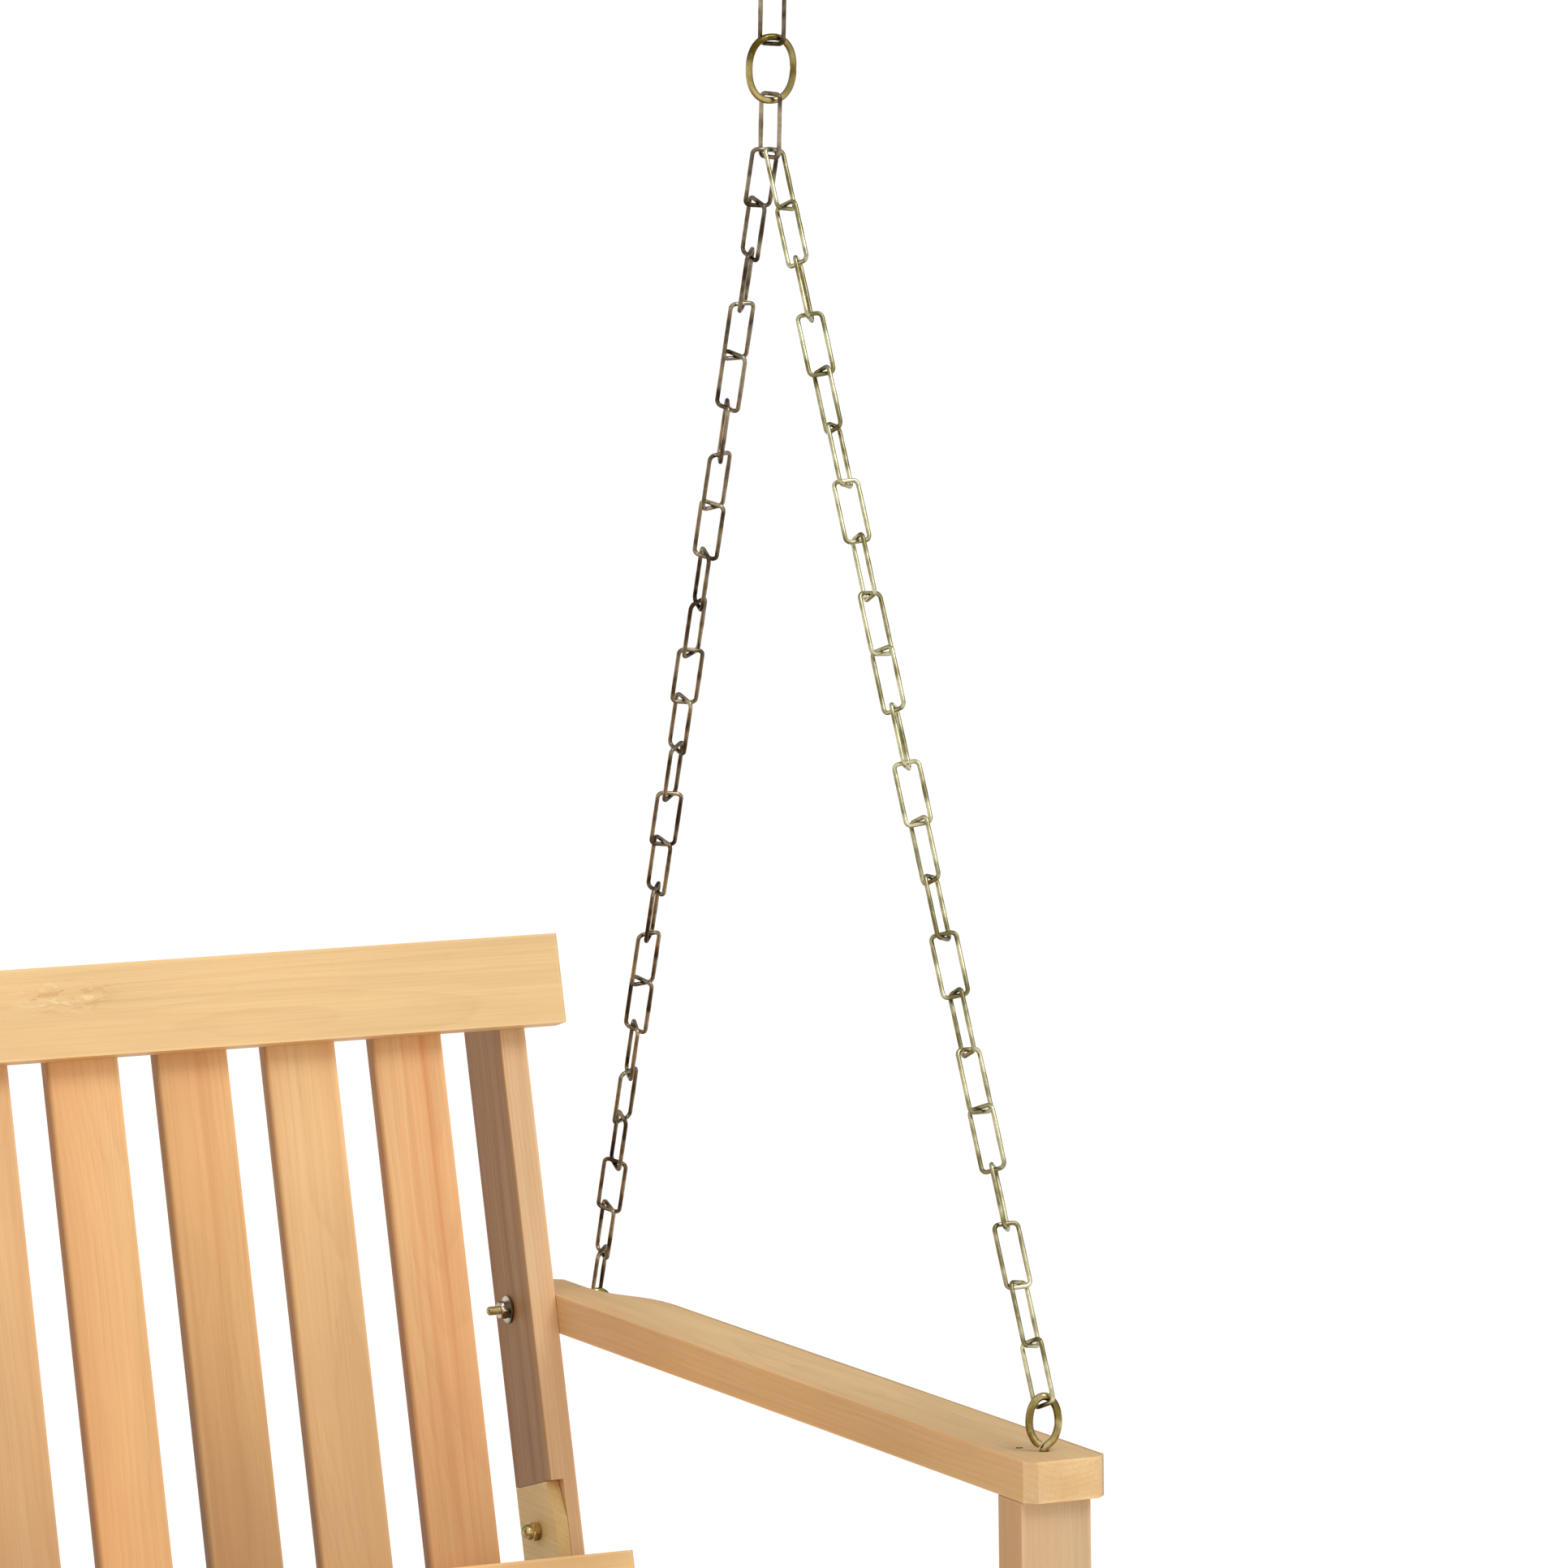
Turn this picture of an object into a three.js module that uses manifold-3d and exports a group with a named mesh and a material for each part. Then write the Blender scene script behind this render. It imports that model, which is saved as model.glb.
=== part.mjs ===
// A two-seat slatted porch swing: a wooden bench with armrests that hangs on two chain
// V-slings, each from a ring, a short chain and a ceiling plate.
// Millimetres, +Z up, +X to the right as seen from in front; the sitter faces -Y.
// The origin is at ceiling level, midway between the two ceiling plates.
import * as THREE from "three";
import { mergeVertices } from "three/addons/utils/BufferGeometryUtils.js";
import Module from "manifold-3d";

const wasm = await Module();
wasm.setup();

// ---- driving dimensions ----------------------------------------------------------
const GAP = 0.3; // clearance between touching pieces
const HANG_TILT = 4.63; // degrees that the hanging bench leans back, where it balances

// boards
const BOARD = 18; // thickness of rails, uprights, bearers and seat slats
const RAIL_HEIGHT = 58;
const UPRIGHT_DEPTH = 58.7;
const FRAME_WIDTH = 1119; // across the outer faces of the two uprights
const SLAT_WIDTH = 48;
const SLAT_THICKNESS = 9;
const SLAT_PITCH = 73.4;
const SLAT_COUNT = 14;

// the back, measured up the lean (v) and out of its front plane (n)
const BACK_LEAN = 14.4; // degrees
const BACK_OPENING = 341.5; // visible slat length between the two rails
const TOP_RAIL_OVERHANG = 22;
const BOTTOM_RAIL_OVERHANG = 25.5;
const SLAT_TOP_HIDDEN = 45; // slat end behind the top rail
const UPRIGHT_TOP_HIDDEN = 50;
const UPRIGHT_FOOT = -100; // v of the upright's lower end
const LAP_TOP = 50; // v where the bearer's heel ends against the upright's shoulder
const LAP_CORNER = { drop: 25, depth: 8 }; // the heel's cut-off front corner
const LAP_BOLT_V = 20;

// the armrests and front posts
const ARM_TOP = 162.6;
const ARM_THICKNESS = 24;
const ARM_WIDTH = 51.4;
const ARM_REAR_WIDTH = 30;
const ARM_FRONT = -643;
const ARM_REAR = 107;
const ARM_CHAMFER = 6.5;
const ARM_NECK = [-30, 62]; // y where the arm's outer edge starts and stops narrowing
const ARM_REAR_CORNER = 9;
const POST_WIDTH = 44;
const POST_DEPTH = 30;
const POST_FRONT = -634;
const POST_FOOT = -128;

// the seat
const SEAT_SLAT_COUNT = 8;
const SEAT_SLAT_WIDTH = 58;
const SEAT_SLAT_PITCH = 73.5;
const SEAT_FRONT = -626; // front edge of the first seat slat
const SEAT_LINE = [[-660, -84], [-600, -66], [-540, -63], [-330, -80], [-150, -97], [-30, -90]];
const BEARER_FRONT = -632;
const BEARER_UNDERSIDE = [[-632, -112], [-600, -126], [-60, -152]];
const STRETCHER_Y = -590;
const STRETCHER_HEIGHT = 54;
const STRETCHER_DROP = 1; // the stretcher's top stands this far below the seat slats
const NOSE_DEPTH = 10; // height of the bearer's blunt front end
const MIDDLE_HEEL_TOP = -5; // the middle bearer's heel ends below the lower rail's top edge
const HEEL = { meetsSeat: -84, rearEnd: 6, curveDrop: 48, curveInset: 12 };
const POST_BOLT_Z = -98;

// chain: inside length, wire and outside width of one link
const PITCH = 35;
const WIRE = 3.2;
const LINK_WIDTH = 17.5;
const LINK_CORNER = 4.5;
const LINK_TRIM = 0.5; // taken off each fused link's length, so that its ends sink into its neighbours
const END_PLAY = 0.6; // slack where a chain's end link meets another piece
const FRONT_LINKS = 22;
const REAR_LINKS = 24;
const UPPER_LINKS = 4;
const SLING_X = FRAME_WIDTH / 2 + 2; // the two slings hang a little inside the eyes
const LEG_SPREAD = 3.9; // each leg's place on the gather link's lower bar

// ring, eyes, hanger and bolts
const RING = { wire: 4.2, width: 33, height: 42, corner: 13 };
const FRONT_EYE = { wire: 4.6, width: 22, height: 33, corner: 8.5, x: 26, y: -612, shank: 66, lift: 1 };
const REAR_EYE = { wire: 4.6, width: 22, corner: 8.7, y: 76, z: 150, stickOut: 15, standOff: 1 };
const HANGER = { wire: 6, width: 28, bow: 40, corner: 9, drop: 30, plate: [74, 38, 4], holeX: 27, hole: 7 };
const SHANK = 6;
const BORE = SHANK + 2 * GAP;
const SHANK_ROOT = 2; // how far a shank runs into the wire of its eye
const BOLT_HEAD = [[7, 0.3], [6.2, 2], [3.4, 3.4], [0, 3.8]]; // radius, height
const BOLT_POINT = 0.6;
const LAP_BOLT_END = 8; // bolt left standing past the bearer
const POST_BOLT_END = 10;
const WASHER = { width: 18, thickness: 1.8 };
const NUT = { width: 11.5, height: 7 };
const DOME = [[0, -12], [2.6, -11.4], [4.4, -9.4], [5, -7], [5, -4.8], [0, -4.8]]; // radius, x
const DOME_SKIRT = 5;
const DOME_BORE = 9;

// roll of the links about each chain's own line, in degrees
const UPPER_ROLL = { start: 0, step: -75.2 };
const GATHER_ROLL = 23.5;
const FRONT_ROLL = -66;
const REAR_ROLL = -59.7;

// ---- materials -------------------------------------------------------------------
const material = (color, roughness, metalness) =>
  new THREE.MeshStandardMaterial({ color, roughness, metalness });
const wood = {
  rail: () => material(0xe2bd7f, 0.62, 0),
  slat: () => material(0xdfae7d, 0.62, 0),
  frame: () => material(0xcfa171, 0.62, 0),
};
const plated = () => material(0xb7a867, 0.35, 1);
const steel = () => material(0xa9a290, 0.4, 1);

// ---- helpers ---------------------------------------------------------------------
const rad = THREE.MathUtils.degToRad;

/** A closed geometry as a manifold solid. */
function solid(geometry) {
  const bare = geometry.clone();
  bare.deleteAttribute("normal");
  bare.deleteAttribute("uv");
  const merged = mergeVertices(bare, 1e-4);
  return new wasm.Manifold(
    new wasm.Mesh({
      numProp: 3,
      vertProperties: merged.attributes.position.array,
      triVerts: new Uint32Array(merged.index.array),
    }),
  );
}

/** A manifold solid as a three.js geometry. */
function geometryOf(manifold) {
  const mesh = manifold.getMesh();
  const geometry = new THREE.BufferGeometry();
  geometry.setAttribute("position", new THREE.BufferAttribute(mesh.vertProperties, 3));
  geometry.setIndex(new THREE.BufferAttribute(mesh.triVerts, 1));
  geometry.computeVertexNormals();
  return geometry;
}

const cut = (geometry, ...tools) =>
  geometryOf(tools.reduce((rest, tool) => rest.subtract(solid(tool)), solid(geometry)));
const join = (...pieces) =>
  geometryOf(pieces.slice(1).reduce((sum, piece) => sum.add(solid(piece)), solid(pieces[0])));

/** A named mesh. */
function node(name, geometry, look) {
  const mesh = new THREE.Mesh(geometry, look);
  mesh.name = name;
  return mesh;
}

/** A box from its lowest to its highest corner. */
function box(low, high) {
  const size = high.map((h, i) => h - low[i]);
  return new THREE.BoxGeometry(...size).translate(...high.map((h, i) => (h + low[i]) / 2));
}

/** An outline in the YZ plane, extruded along X. */
function extrudeX(outline, x0, x1) {
  const geometry = new THREE.ExtrudeGeometry(outline, {
    depth: x1 - x0,
    bevelEnabled: false,
    curveSegments: 8,
  });
  const yzx = new THREE.Matrix4().set(0, 0, 1, x0, 1, 0, 0, 0, 0, 1, 0, 0, 0, 0, 0, 1);
  return geometry.applyMatrix4(yzx);
}

/** A rod along X. */
const rodX = (diameter, x0, x1, y, z, sides = 12) =>
  new THREE.CylinderGeometry(diameter / 2, diameter / 2, x1 - x0, sides)
    .rotateZ(Math.PI / 2)
    .translate((x0 + x1) / 2, y, z);

/** A rod along Z. */
const rodZ = (diameter, z0, z1, x, y, sides = 12) =>
  new THREE.CylinderGeometry(diameter / 2, diameter / 2, z1 - z0, sides)
    .rotateX(Math.PI / 2)
    .translate(x, y, (z0 + z1) / 2);

/** A body turned about a line parallel to X, from a profile of [radius, x]. */
const turnedX = (profile, y, z, sides = 12) =>
  new THREE.LatheGeometry(profile.map(([r, x]) => new THREE.Vector2(r, x)), sides)
    .rotateZ(-Math.PI / 2)
    .translate(0, y, z);

/** A closed wire loop in the XY plane, a torus whose halves are drawn apart. */
function loop(wire, width, height, corner, segments = 8, sides = 4) {
  const geometry = new THREE.TorusGeometry(corner, wire / 2, sides, segments);
  geometry.rotateZ(Math.PI / segments);
  const reach = corner * Math.cos(Math.PI / segments);
  const drawX = (width - wire) / 2 - reach;
  const drawY = (height - wire) / 2 - reach;
  const position = geometry.attributes.position;
  for (let i = 0; i < position.count; i++) {
    const x = position.getX(i);
    const y = position.getY(i);
    position.setXY(i, x + Math.sign(x) * drawX, y + Math.sign(y) * drawY);
  }
  return geometry;
}

/** Turns a loop from the XY plane so that its height lies along `up` and its normal along `normal`. */
function place(geometry, centre, up, normal) {
  const y = up.clone().normalize();
  const z = normal.clone().addScaledVector(y, -normal.dot(y)).normalize();
  const x = y.clone().cross(z);
  return geometry.applyMatrix4(new THREE.Matrix4().makeBasis(x, y, z).setPosition(centre));
}

/** A level unit vector at an azimuth from +X. */
const level = (degrees) => new THREE.Vector3(Math.cos(rad(degrees)), Math.sin(rad(degrees)), 0);

/** A taut chain as one body, its links rolled a step further each time. */
function chain(from, to, count, firstNormal, rollStep) {
  const along = to.clone().sub(from);
  const play = (along.length() - count * PITCH) / 2;
  along.normalize();
  const links = [];
  for (let k = 0; k < count; k++) {
    const centre = from.clone().addScaledVector(along, play + (k + 0.5) * PITCH);
    const normal = firstNormal.clone();
    normal.addScaledVector(along, -normal.dot(along));
    normal.applyAxisAngle(along, rad(k * rollStep));
    const link = loop(WIRE, LINK_WIDTH, PITCH + 2 * WIRE - LINK_TRIM, LINK_CORNER);
    links.push(place(link, centre, along, normal));
  }
  return join(...links);
}

// ---- the back's own directions ---------------------------------------------------
const lean = rad(BACK_LEAN);
/** A point of the back as [y, z], from v up the lean and n out of the front plane. */
const back = (v, n) => [
  v * Math.sin(lean) - n * Math.cos(lean),
  v * Math.cos(lean) + n * Math.sin(lean),
];

/** A board of the back: a box in x, n and v, laid on the lean. */
function backBoard(x0, x1, n0, n1, v0, v1) {
  return box([x0, -n1, v0], [x1, -n0, v1]).rotateX(-lean);
}

const HALF = FRAME_WIDTH / 2;
const OUT = 3000; // far outside the bench

// ---- wood ------------------------------------------------------------------------
function backRails() {
  const railX = (overhang) => HALF + overhang;
  const top = backBoard(
    -railX(TOP_RAIL_OVERHANG), railX(TOP_RAIL_OVERHANG),
    GAP, BOARD + GAP, BACK_OPENING, BACK_OPENING + RAIL_HEIGHT,
  );
  const bottom = backBoard(
    -railX(BOTTOM_RAIL_OVERHANG), railX(BOTTOM_RAIL_OVERHANG),
    GAP, BOARD + GAP, -RAIL_HEIGHT, 0,
  );
  return [node("top_back_rail", top, wood.rail()), node("bottom_back_rail", bottom, wood.rail())];
}

function backSlats() {
  return Array.from({ length: SLAT_COUNT }, (_, i) => {
    const x = (i - (SLAT_COUNT - 1) / 2) * SLAT_PITCH;
    const slat = backBoard(
      x - SLAT_WIDTH / 2, x + SLAT_WIDTH / 2,
      -SLAT_THICKNESS, 0, -RAIL_HEIGHT, BACK_OPENING + SLAT_TOP_HIDDEN,
    );
    return node("back_slat_" + String(i + 1).padStart(2, "0"), slat, wood.slat());
  });
}

const seatLine = new THREE.SplineCurve(SEAT_LINE.map(([y, z]) => new THREE.Vector2(y, z)));

/** Height of the bearers' top edge at y. */
function seatHeight(y) {
  let low = 0;
  let high = 1;
  for (let i = 0; i < 30; i++) {
    const middle = (low + high) / 2;
    if (seatLine.getPoint(middle).x < y) low = middle;
    else high = middle;
  }
  return seatLine.getPoint(low).y;
}

/** Ends of the flat under seat slat i, as [y, z]. */
function seatFlat(i) {
  const y = SEAT_FRONT + i * SEAT_SLAT_PITCH - (SEAT_SLAT_PITCH - SEAT_SLAT_WIDTH) / 2;
  return [y, y + SEAT_SLAT_PITCH].map((at) => [at, seatHeight(at)]);
}

/** Height at y of the flats that the seat slats rest on. */
function flatHeight(y) {
  const i = Math.max(0, Math.floor((y - seatFlat(0)[0][0]) / SEAT_SLAT_PITCH));
  const [[y0, z0], [y1, z1]] = seatFlat(i);
  return z0 + ((z1 - z0) * (y - y0)) / (y1 - y0);
}

function seatSlats() {
  return Array.from({ length: SEAT_SLAT_COUNT }, (_, i) => {
    const [[y0, z0], [y1, z1]] = seatFlat(i);
    const slat = box(
      [-HALF + GAP, -SEAT_SLAT_WIDTH / 2, GAP],
      [HALF - GAP, SEAT_SLAT_WIDTH / 2, GAP + BOARD],
    );
    slat.rotateX(Math.atan2(z1 - z0, y1 - y0)).translate(0, (y0 + y1) / 2, (z0 + z1) / 2);
    return node("seat_slat_" + (i + 1), slat, wood.slat());
  });
}

/** Side outline of a bearer: a scooped seat edge that runs up into a heel along the back. */
function bearerOutline(frontY, heelTop) {
  const outline = new THREE.Shape();
  const start = Math.max(frontY, seatFlat(0)[0][0]);
  outline.moveTo(start, flatHeight(start));
  for (let i = 0; i < SEAT_SLAT_COUNT; i++) {
    const end = seatFlat(i)[1];
    if (end[0] > start + 1) outline.lineTo(...end);
  }
  outline.lineTo(...back(HEEL.meetsSeat, 0));
  outline.lineTo(...back(Math.min(heelTop, LAP_TOP - LAP_CORNER.drop), 0));
  if (heelTop === LAP_TOP) outline.lineTo(...back(LAP_TOP, -LAP_CORNER.depth));
  outline.lineTo(...back(heelTop, -UPRIGHT_DEPTH));
  outline.lineTo(...back(UPRIGHT_FOOT + HEEL.rearEnd, -UPRIGHT_DEPTH));
  const curveTo = back(UPRIGHT_FOOT - HEEL.curveDrop, HEEL.curveInset - UPRIGHT_DEPTH);
  outline.quadraticCurveTo(...curveTo, ...BEARER_UNDERSIDE[2]);
  outline.lineTo(Math.max(frontY, BEARER_UNDERSIDE[1][0]), BEARER_UNDERSIDE[1][1]);
  if (frontY < BEARER_UNDERSIDE[1][0]) {
    outline.lineTo(...BEARER_UNDERSIDE[0]);
    outline.lineTo(frontY, flatHeight(start) - NOSE_DEPTH);
  }
  outline.closePath();
  return outline;
}

const LAP_BOLT = back(LAP_BOLT_V, -UPRIGHT_DEPTH / 2);
const POST_BOLT = [POST_FRONT + POST_DEPTH / 2, POST_BOLT_Z];

function middleBearer() {
  const outline = bearerOutline(STRETCHER_Y + BOARD + GAP, MIDDLE_HEEL_TOP);
  return node("seat_bearer_middle", extrudeX(outline, -BOARD / 2, BOARD / 2), wood.frame());
}

function frontStretcher() {
  const x = HALF - BOARD - GAP;
  const top = flatHeight(STRETCHER_Y) - STRETCHER_DROP;
  const board = box(
    [-x, STRETCHER_Y, top - STRETCHER_HEIGHT],
    [x, STRETCHER_Y + BOARD, top],
  );
  return node("front_stretcher", board, wood.frame());
}

function sideBearer(side) {
  const half = HALF - BOARD / 2;
  const bearer = cut(
    extrudeX(bearerOutline(BEARER_FRONT, LAP_TOP), HALF - BOARD, HALF),
    backBoard(half - GAP / 2, OUT, -OUT, GAP, UPRIGHT_FOOT - GAP, OUT),
    rodX(BORE, 0, OUT, ...LAP_BOLT),
    rodX(BORE, 0, OUT, ...POST_BOLT),
  );
  return node("seat_bearer_" + side, bearer, wood.frame());
}

function backUpright(side) {
  const half = HALF - BOARD / 2;
  const upright = cut(
    backBoard(
      HALF - BOARD, HALF, -UPRIGHT_DEPTH, 0, UPRIGHT_FOOT, BACK_OPENING + UPRIGHT_TOP_HIDDEN,
    ),
    backBoard(0, half + GAP / 2, -OUT, OUT, -OUT, LAP_TOP + GAP),
    rodX(BORE, 0, OUT, ...LAP_BOLT),
    rodX(BORE, 0, OUT, REAR_EYE.y, REAR_EYE.z),
  );
  return node("back_upright_" + side, upright, wood.frame());
}

function armrest(side) {
  const outline = new THREE.Shape();
  outline.moveTo(0, ARM_FRONT + ARM_CHAMFER);
  outline.lineTo(ARM_CHAMFER, ARM_FRONT);
  outline.lineTo(ARM_WIDTH - ARM_CHAMFER, ARM_FRONT);
  outline.lineTo(ARM_WIDTH, ARM_FRONT + ARM_CHAMFER);
  const [neckStart, neckEnd] = ARM_NECK;
  const neckMiddle = (neckStart + neckEnd) / 2;
  outline.lineTo(ARM_WIDTH, neckStart);
  outline.bezierCurveTo(ARM_WIDTH, neckMiddle, ARM_REAR_WIDTH, neckMiddle, ARM_REAR_WIDTH, neckEnd);
  outline.lineTo(ARM_REAR_WIDTH, ARM_REAR - ARM_REAR_CORNER);
  outline.lineTo(ARM_REAR_WIDTH - ARM_REAR_CORNER, ARM_REAR);
  outline.lineTo(0, ARM_REAR);
  outline.closePath();
  const blank = new THREE.ExtrudeGeometry(outline, {
    depth: ARM_THICKNESS,
    bevelEnabled: false,
    curveSegments: 8,
  }).translate(HALF + GAP, 0, ARM_TOP - ARM_THICKNESS);
  const arm = cut(
    blank,
    rodX(BORE, 0, OUT, REAR_EYE.y, REAR_EYE.z),
    rodZ(BORE, 0, ARM_TOP + 1, HALF + FRONT_EYE.x, FRONT_EYE.y),
  );
  return node("armrest_" + side, arm, wood.frame());
}

function frontPost(side) {
  const post = cut(
    box(
      [HALF + GAP, POST_FRONT, POST_FOOT],
      [HALF + GAP + POST_WIDTH, POST_FRONT + POST_DEPTH, ARM_TOP - ARM_THICKNESS - GAP],
    ),
    rodZ(BORE, ARM_TOP - FRONT_EYE.shank - 1, ARM_TOP, HALF + FRONT_EYE.x, FRONT_EYE.y),
    rodX(BORE, 0, OUT, ...POST_BOLT),
  );
  return node("front_post_" + side, post, wood.frame());
}

// ---- fasteners -------------------------------------------------------------------
/** A round-headed bolt along X, its head outside at x1, its end inside at x0. */
function carriageBolt(x0, x1, y, z) {
  const r = SHANK / 2;
  const shank = [[0, x0], [r - BOLT_POINT, x0], [r, x0 + BOLT_POINT], [r, x1 + GAP]];
  const head = BOLT_HEAD.map(([radius, height]) => [radius, x1 + height]);
  return turnedX([...shank, ...head], y, z);
}

/** A hexagon nut on a round washer against a face at x, both bored for the shank. */
function nutAndWasher(x, y, z) {
  const body = join(
    rodX(WASHER.width, x - WASHER.thickness, x - GAP, y, z, 16),
    rodX(NUT.width, x - NUT.height, x - WASHER.thickness / 2, y, z, 6),
  );
  return cut(body, rodX(BORE, 0, x, y, z));
}

/** A dome nut against a face at x, with a blind bore. */
function domeNut(x, y, z) {
  const skirt = rodX(NUT.width, x - DOME_SKIRT, x - GAP, y, z, 6);
  const dome = turnedX(DOME.map(([radius, inwards]) => [radius, x + inwards]), y, z);
  return cut(join(skirt, dome), rodX(BORE, x - DOME_BORE, x, y, z));
}

const frontEyeCentre = new THREE.Vector3(
  HALF + FRONT_EYE.x, FRONT_EYE.y, ARM_TOP + FRONT_EYE.lift + FRONT_EYE.height / 2,
);
const rearEyeCentre = new THREE.Vector3(
  HALF + GAP + ARM_REAR_WIDTH + REAR_EYE.standOff + REAR_EYE.width / 2, REAR_EYE.y, REAR_EYE.z,
);

/** Where a link pulled towards `target` bears inside an eye of the given inner half-height. */
function bearing(centre, target, inner) {
  const pull = target.clone().sub(centre).normalize();
  return centre.clone().addScaledVector(pull, inner);
}

// ---- the sling: where its two legs meet ------------------------------------------
const Z = new THREE.Vector3(0, 0, 1);
const frontInner = FRONT_EYE.height / 2 - FRONT_EYE.wire;
const rearInner = REAR_EYE.width / 2 - REAR_EYE.wire;
const frontBearing = frontEyeCentre.clone().addScaledVector(Z, frontInner);

/** The point, seen from the side, where legs of the two lengths meet above the eyes. */
function slingApex() {
  const frontLeg = FRONT_LINKS * PITCH - 2 * END_PLAY;
  const rearLeg = REAR_LINKS * PITCH - 2 * END_PLAY + rearInner;
  const flat = (leg, eye) => Math.sqrt(leg ** 2 - (eye.x - SLING_X) ** 2);
  const a = flat(frontLeg, frontBearing);
  const b = flat(rearLeg, rearEyeCentre);
  const dy = rearEyeCentre.y - frontBearing.y;
  const dz = rearEyeCentre.z - frontBearing.z;
  const between = Math.hypot(dy, dz);
  const along = (a * a - b * b + between * between) / (2 * between);
  const above = Math.sqrt(a * a - along * along);
  return new THREE.Vector3(
    SLING_X,
    frontBearing.y + (along * dy - above * dz) / between,
    frontBearing.z + (along * dz + above * dy) / between,
  );
}
const apex = slingApex();

// ---- the bench, in its own level frame, then hung --------------------------------
const bench = new THREE.Group();
bench.add(...backRails(), ...backSlats(), ...seatSlats(), middleBearer(), frontStretcher());

/** The wood, eyes and bolts of the side at +X; the other side mirrors it. */
function benchSide(side) {
  const group = new THREE.Group();
  group.add(sideBearer(side), backUpright(side), armrest(side), frontPost(side));

  const rearBearing = bearing(rearEyeCentre, apex, rearInner);
  const along = rearBearing.clone().sub(rearEyeCentre);
  const rearEye = place(
    loop(REAR_EYE.wire, REAR_EYE.width, REAR_EYE.width, REAR_EYE.corner, 12, 6), rearEyeCentre, along,
    new THREE.Vector3(1, 0, 0).cross(along),
  );
  const rearShank = rodX(
    SHANK, HALF - BOARD - REAR_EYE.stickOut, rearEyeCentre.x - REAR_EYE.width / 2 + SHANK_ROOT,
    REAR_EYE.y, REAR_EYE.z,
  );
  group.add(node("rear_eye_bolt_" + side, join(rearEye, rearShank), plated()));
  group.add(node(
    "rear_eye_nut_" + side, nutAndWasher(HALF - BOARD, REAR_EYE.y, REAR_EYE.z), steel(),
  ));

  const pull = apex.clone().sub(frontBearing).normalize();
  const lastNormal = level(GATHER_ROLL + 90);
  lastNormal.addScaledVector(pull, -lastNormal.dot(pull));
  lastNormal.applyAxisAngle(pull, rad((FRONT_LINKS - 1) * FRONT_ROLL));
  const frontEye = place(
    loop(FRONT_EYE.wire, FRONT_EYE.width, FRONT_EYE.height, FRONT_EYE.corner, 12, 6), frontEyeCentre, Z,
    new THREE.Vector3(-lastNormal.y, lastNormal.x, 0),
  );
  const frontShank = rodZ(
    SHANK, ARM_TOP - FRONT_EYE.shank, ARM_TOP + FRONT_EYE.lift + SHANK_ROOT,
    HALF + FRONT_EYE.x, FRONT_EYE.y,
  );
  group.add(node("front_eye_bolt_" + side, join(frontEye, frontShank), plated()));

  group.add(
    node("lap_bolt_" + side, carriageBolt(
      HALF - BOARD - LAP_BOLT_END, HALF, ...LAP_BOLT,
    ), steel()),
    node("lap_nut_" + side, domeNut(HALF - BOARD, ...LAP_BOLT), plated()),
    node("post_bolt_" + side, carriageBolt(
      HALF - BOARD - POST_BOLT_END, HALF + GAP + POST_WIDTH, ...POST_BOLT,
    ), steel()),
    node("post_nut_" + side, nutAndWasher(HALF - BOARD, ...POST_BOLT), steel()),
  );

  // the two legs hang side by side on the gather link's lower bar
  const bar = level(GATHER_ROLL + 90);
  const offset = bar.clone().multiplyScalar(LEG_SPREAD);
  group.add(
    node("front_chain_" + side, chain(
      apex.clone().sub(offset), frontBearing, FRONT_LINKS, bar, -FRONT_ROLL,
    ), plated()),
    node("rear_chain_" + side, chain(
      apex.clone().add(offset), rearBearing, REAR_LINKS, bar, -REAR_ROLL,
    ), plated()),
  );
  return group;
}
const leftSide = benchSide("left");
leftSide.scale.x = -1;
bench.add(benchSide("right"), leftSide);

// ---- what hangs plumb from the ceiling -------------------------------------------
const HOOK_Z = -HANGER.drop; // where the chain bears on the ceiling plate's bow
const RING_TOP = HOOK_Z - UPPER_LINKS * PITCH + 2 * END_PLAY;
const RING_INNER = RING.height - 2 * RING.wire;
const GATHER_TOP = RING_TOP - RING_INNER;
const APEX_Z = GATHER_TOP - PITCH + 2 * END_PLAY;

function ceilingHanger(side) {
  const [length, width, thickness] = HANGER.plate;
  const bow = place(
    loop(HANGER.wire, HANGER.width, HANGER.bow, HANGER.corner, 12, 6),
    new THREE.Vector3(SLING_X, 0, HOOK_Z - HANGER.wire + HANGER.bow / 2),
    Z, new THREE.Vector3(0, 1, 0),
  );
  const plate = box(
    [SLING_X - length / 2, -width / 2, -thickness],
    [SLING_X + length / 2, width / 2, 0],
  );
  const holes = [-1, 1].map((s) => (
    rodZ(HANGER.hole, -2 * thickness, thickness, SLING_X + s * HANGER.holeX, 0)
  ));
  const above = box([0, -OUT, 0], [OUT, OUT, OUT]);
  return node("ceiling_hanger_" + side, cut(join(plate, bow), above, ...holes), plated());
}

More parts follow.
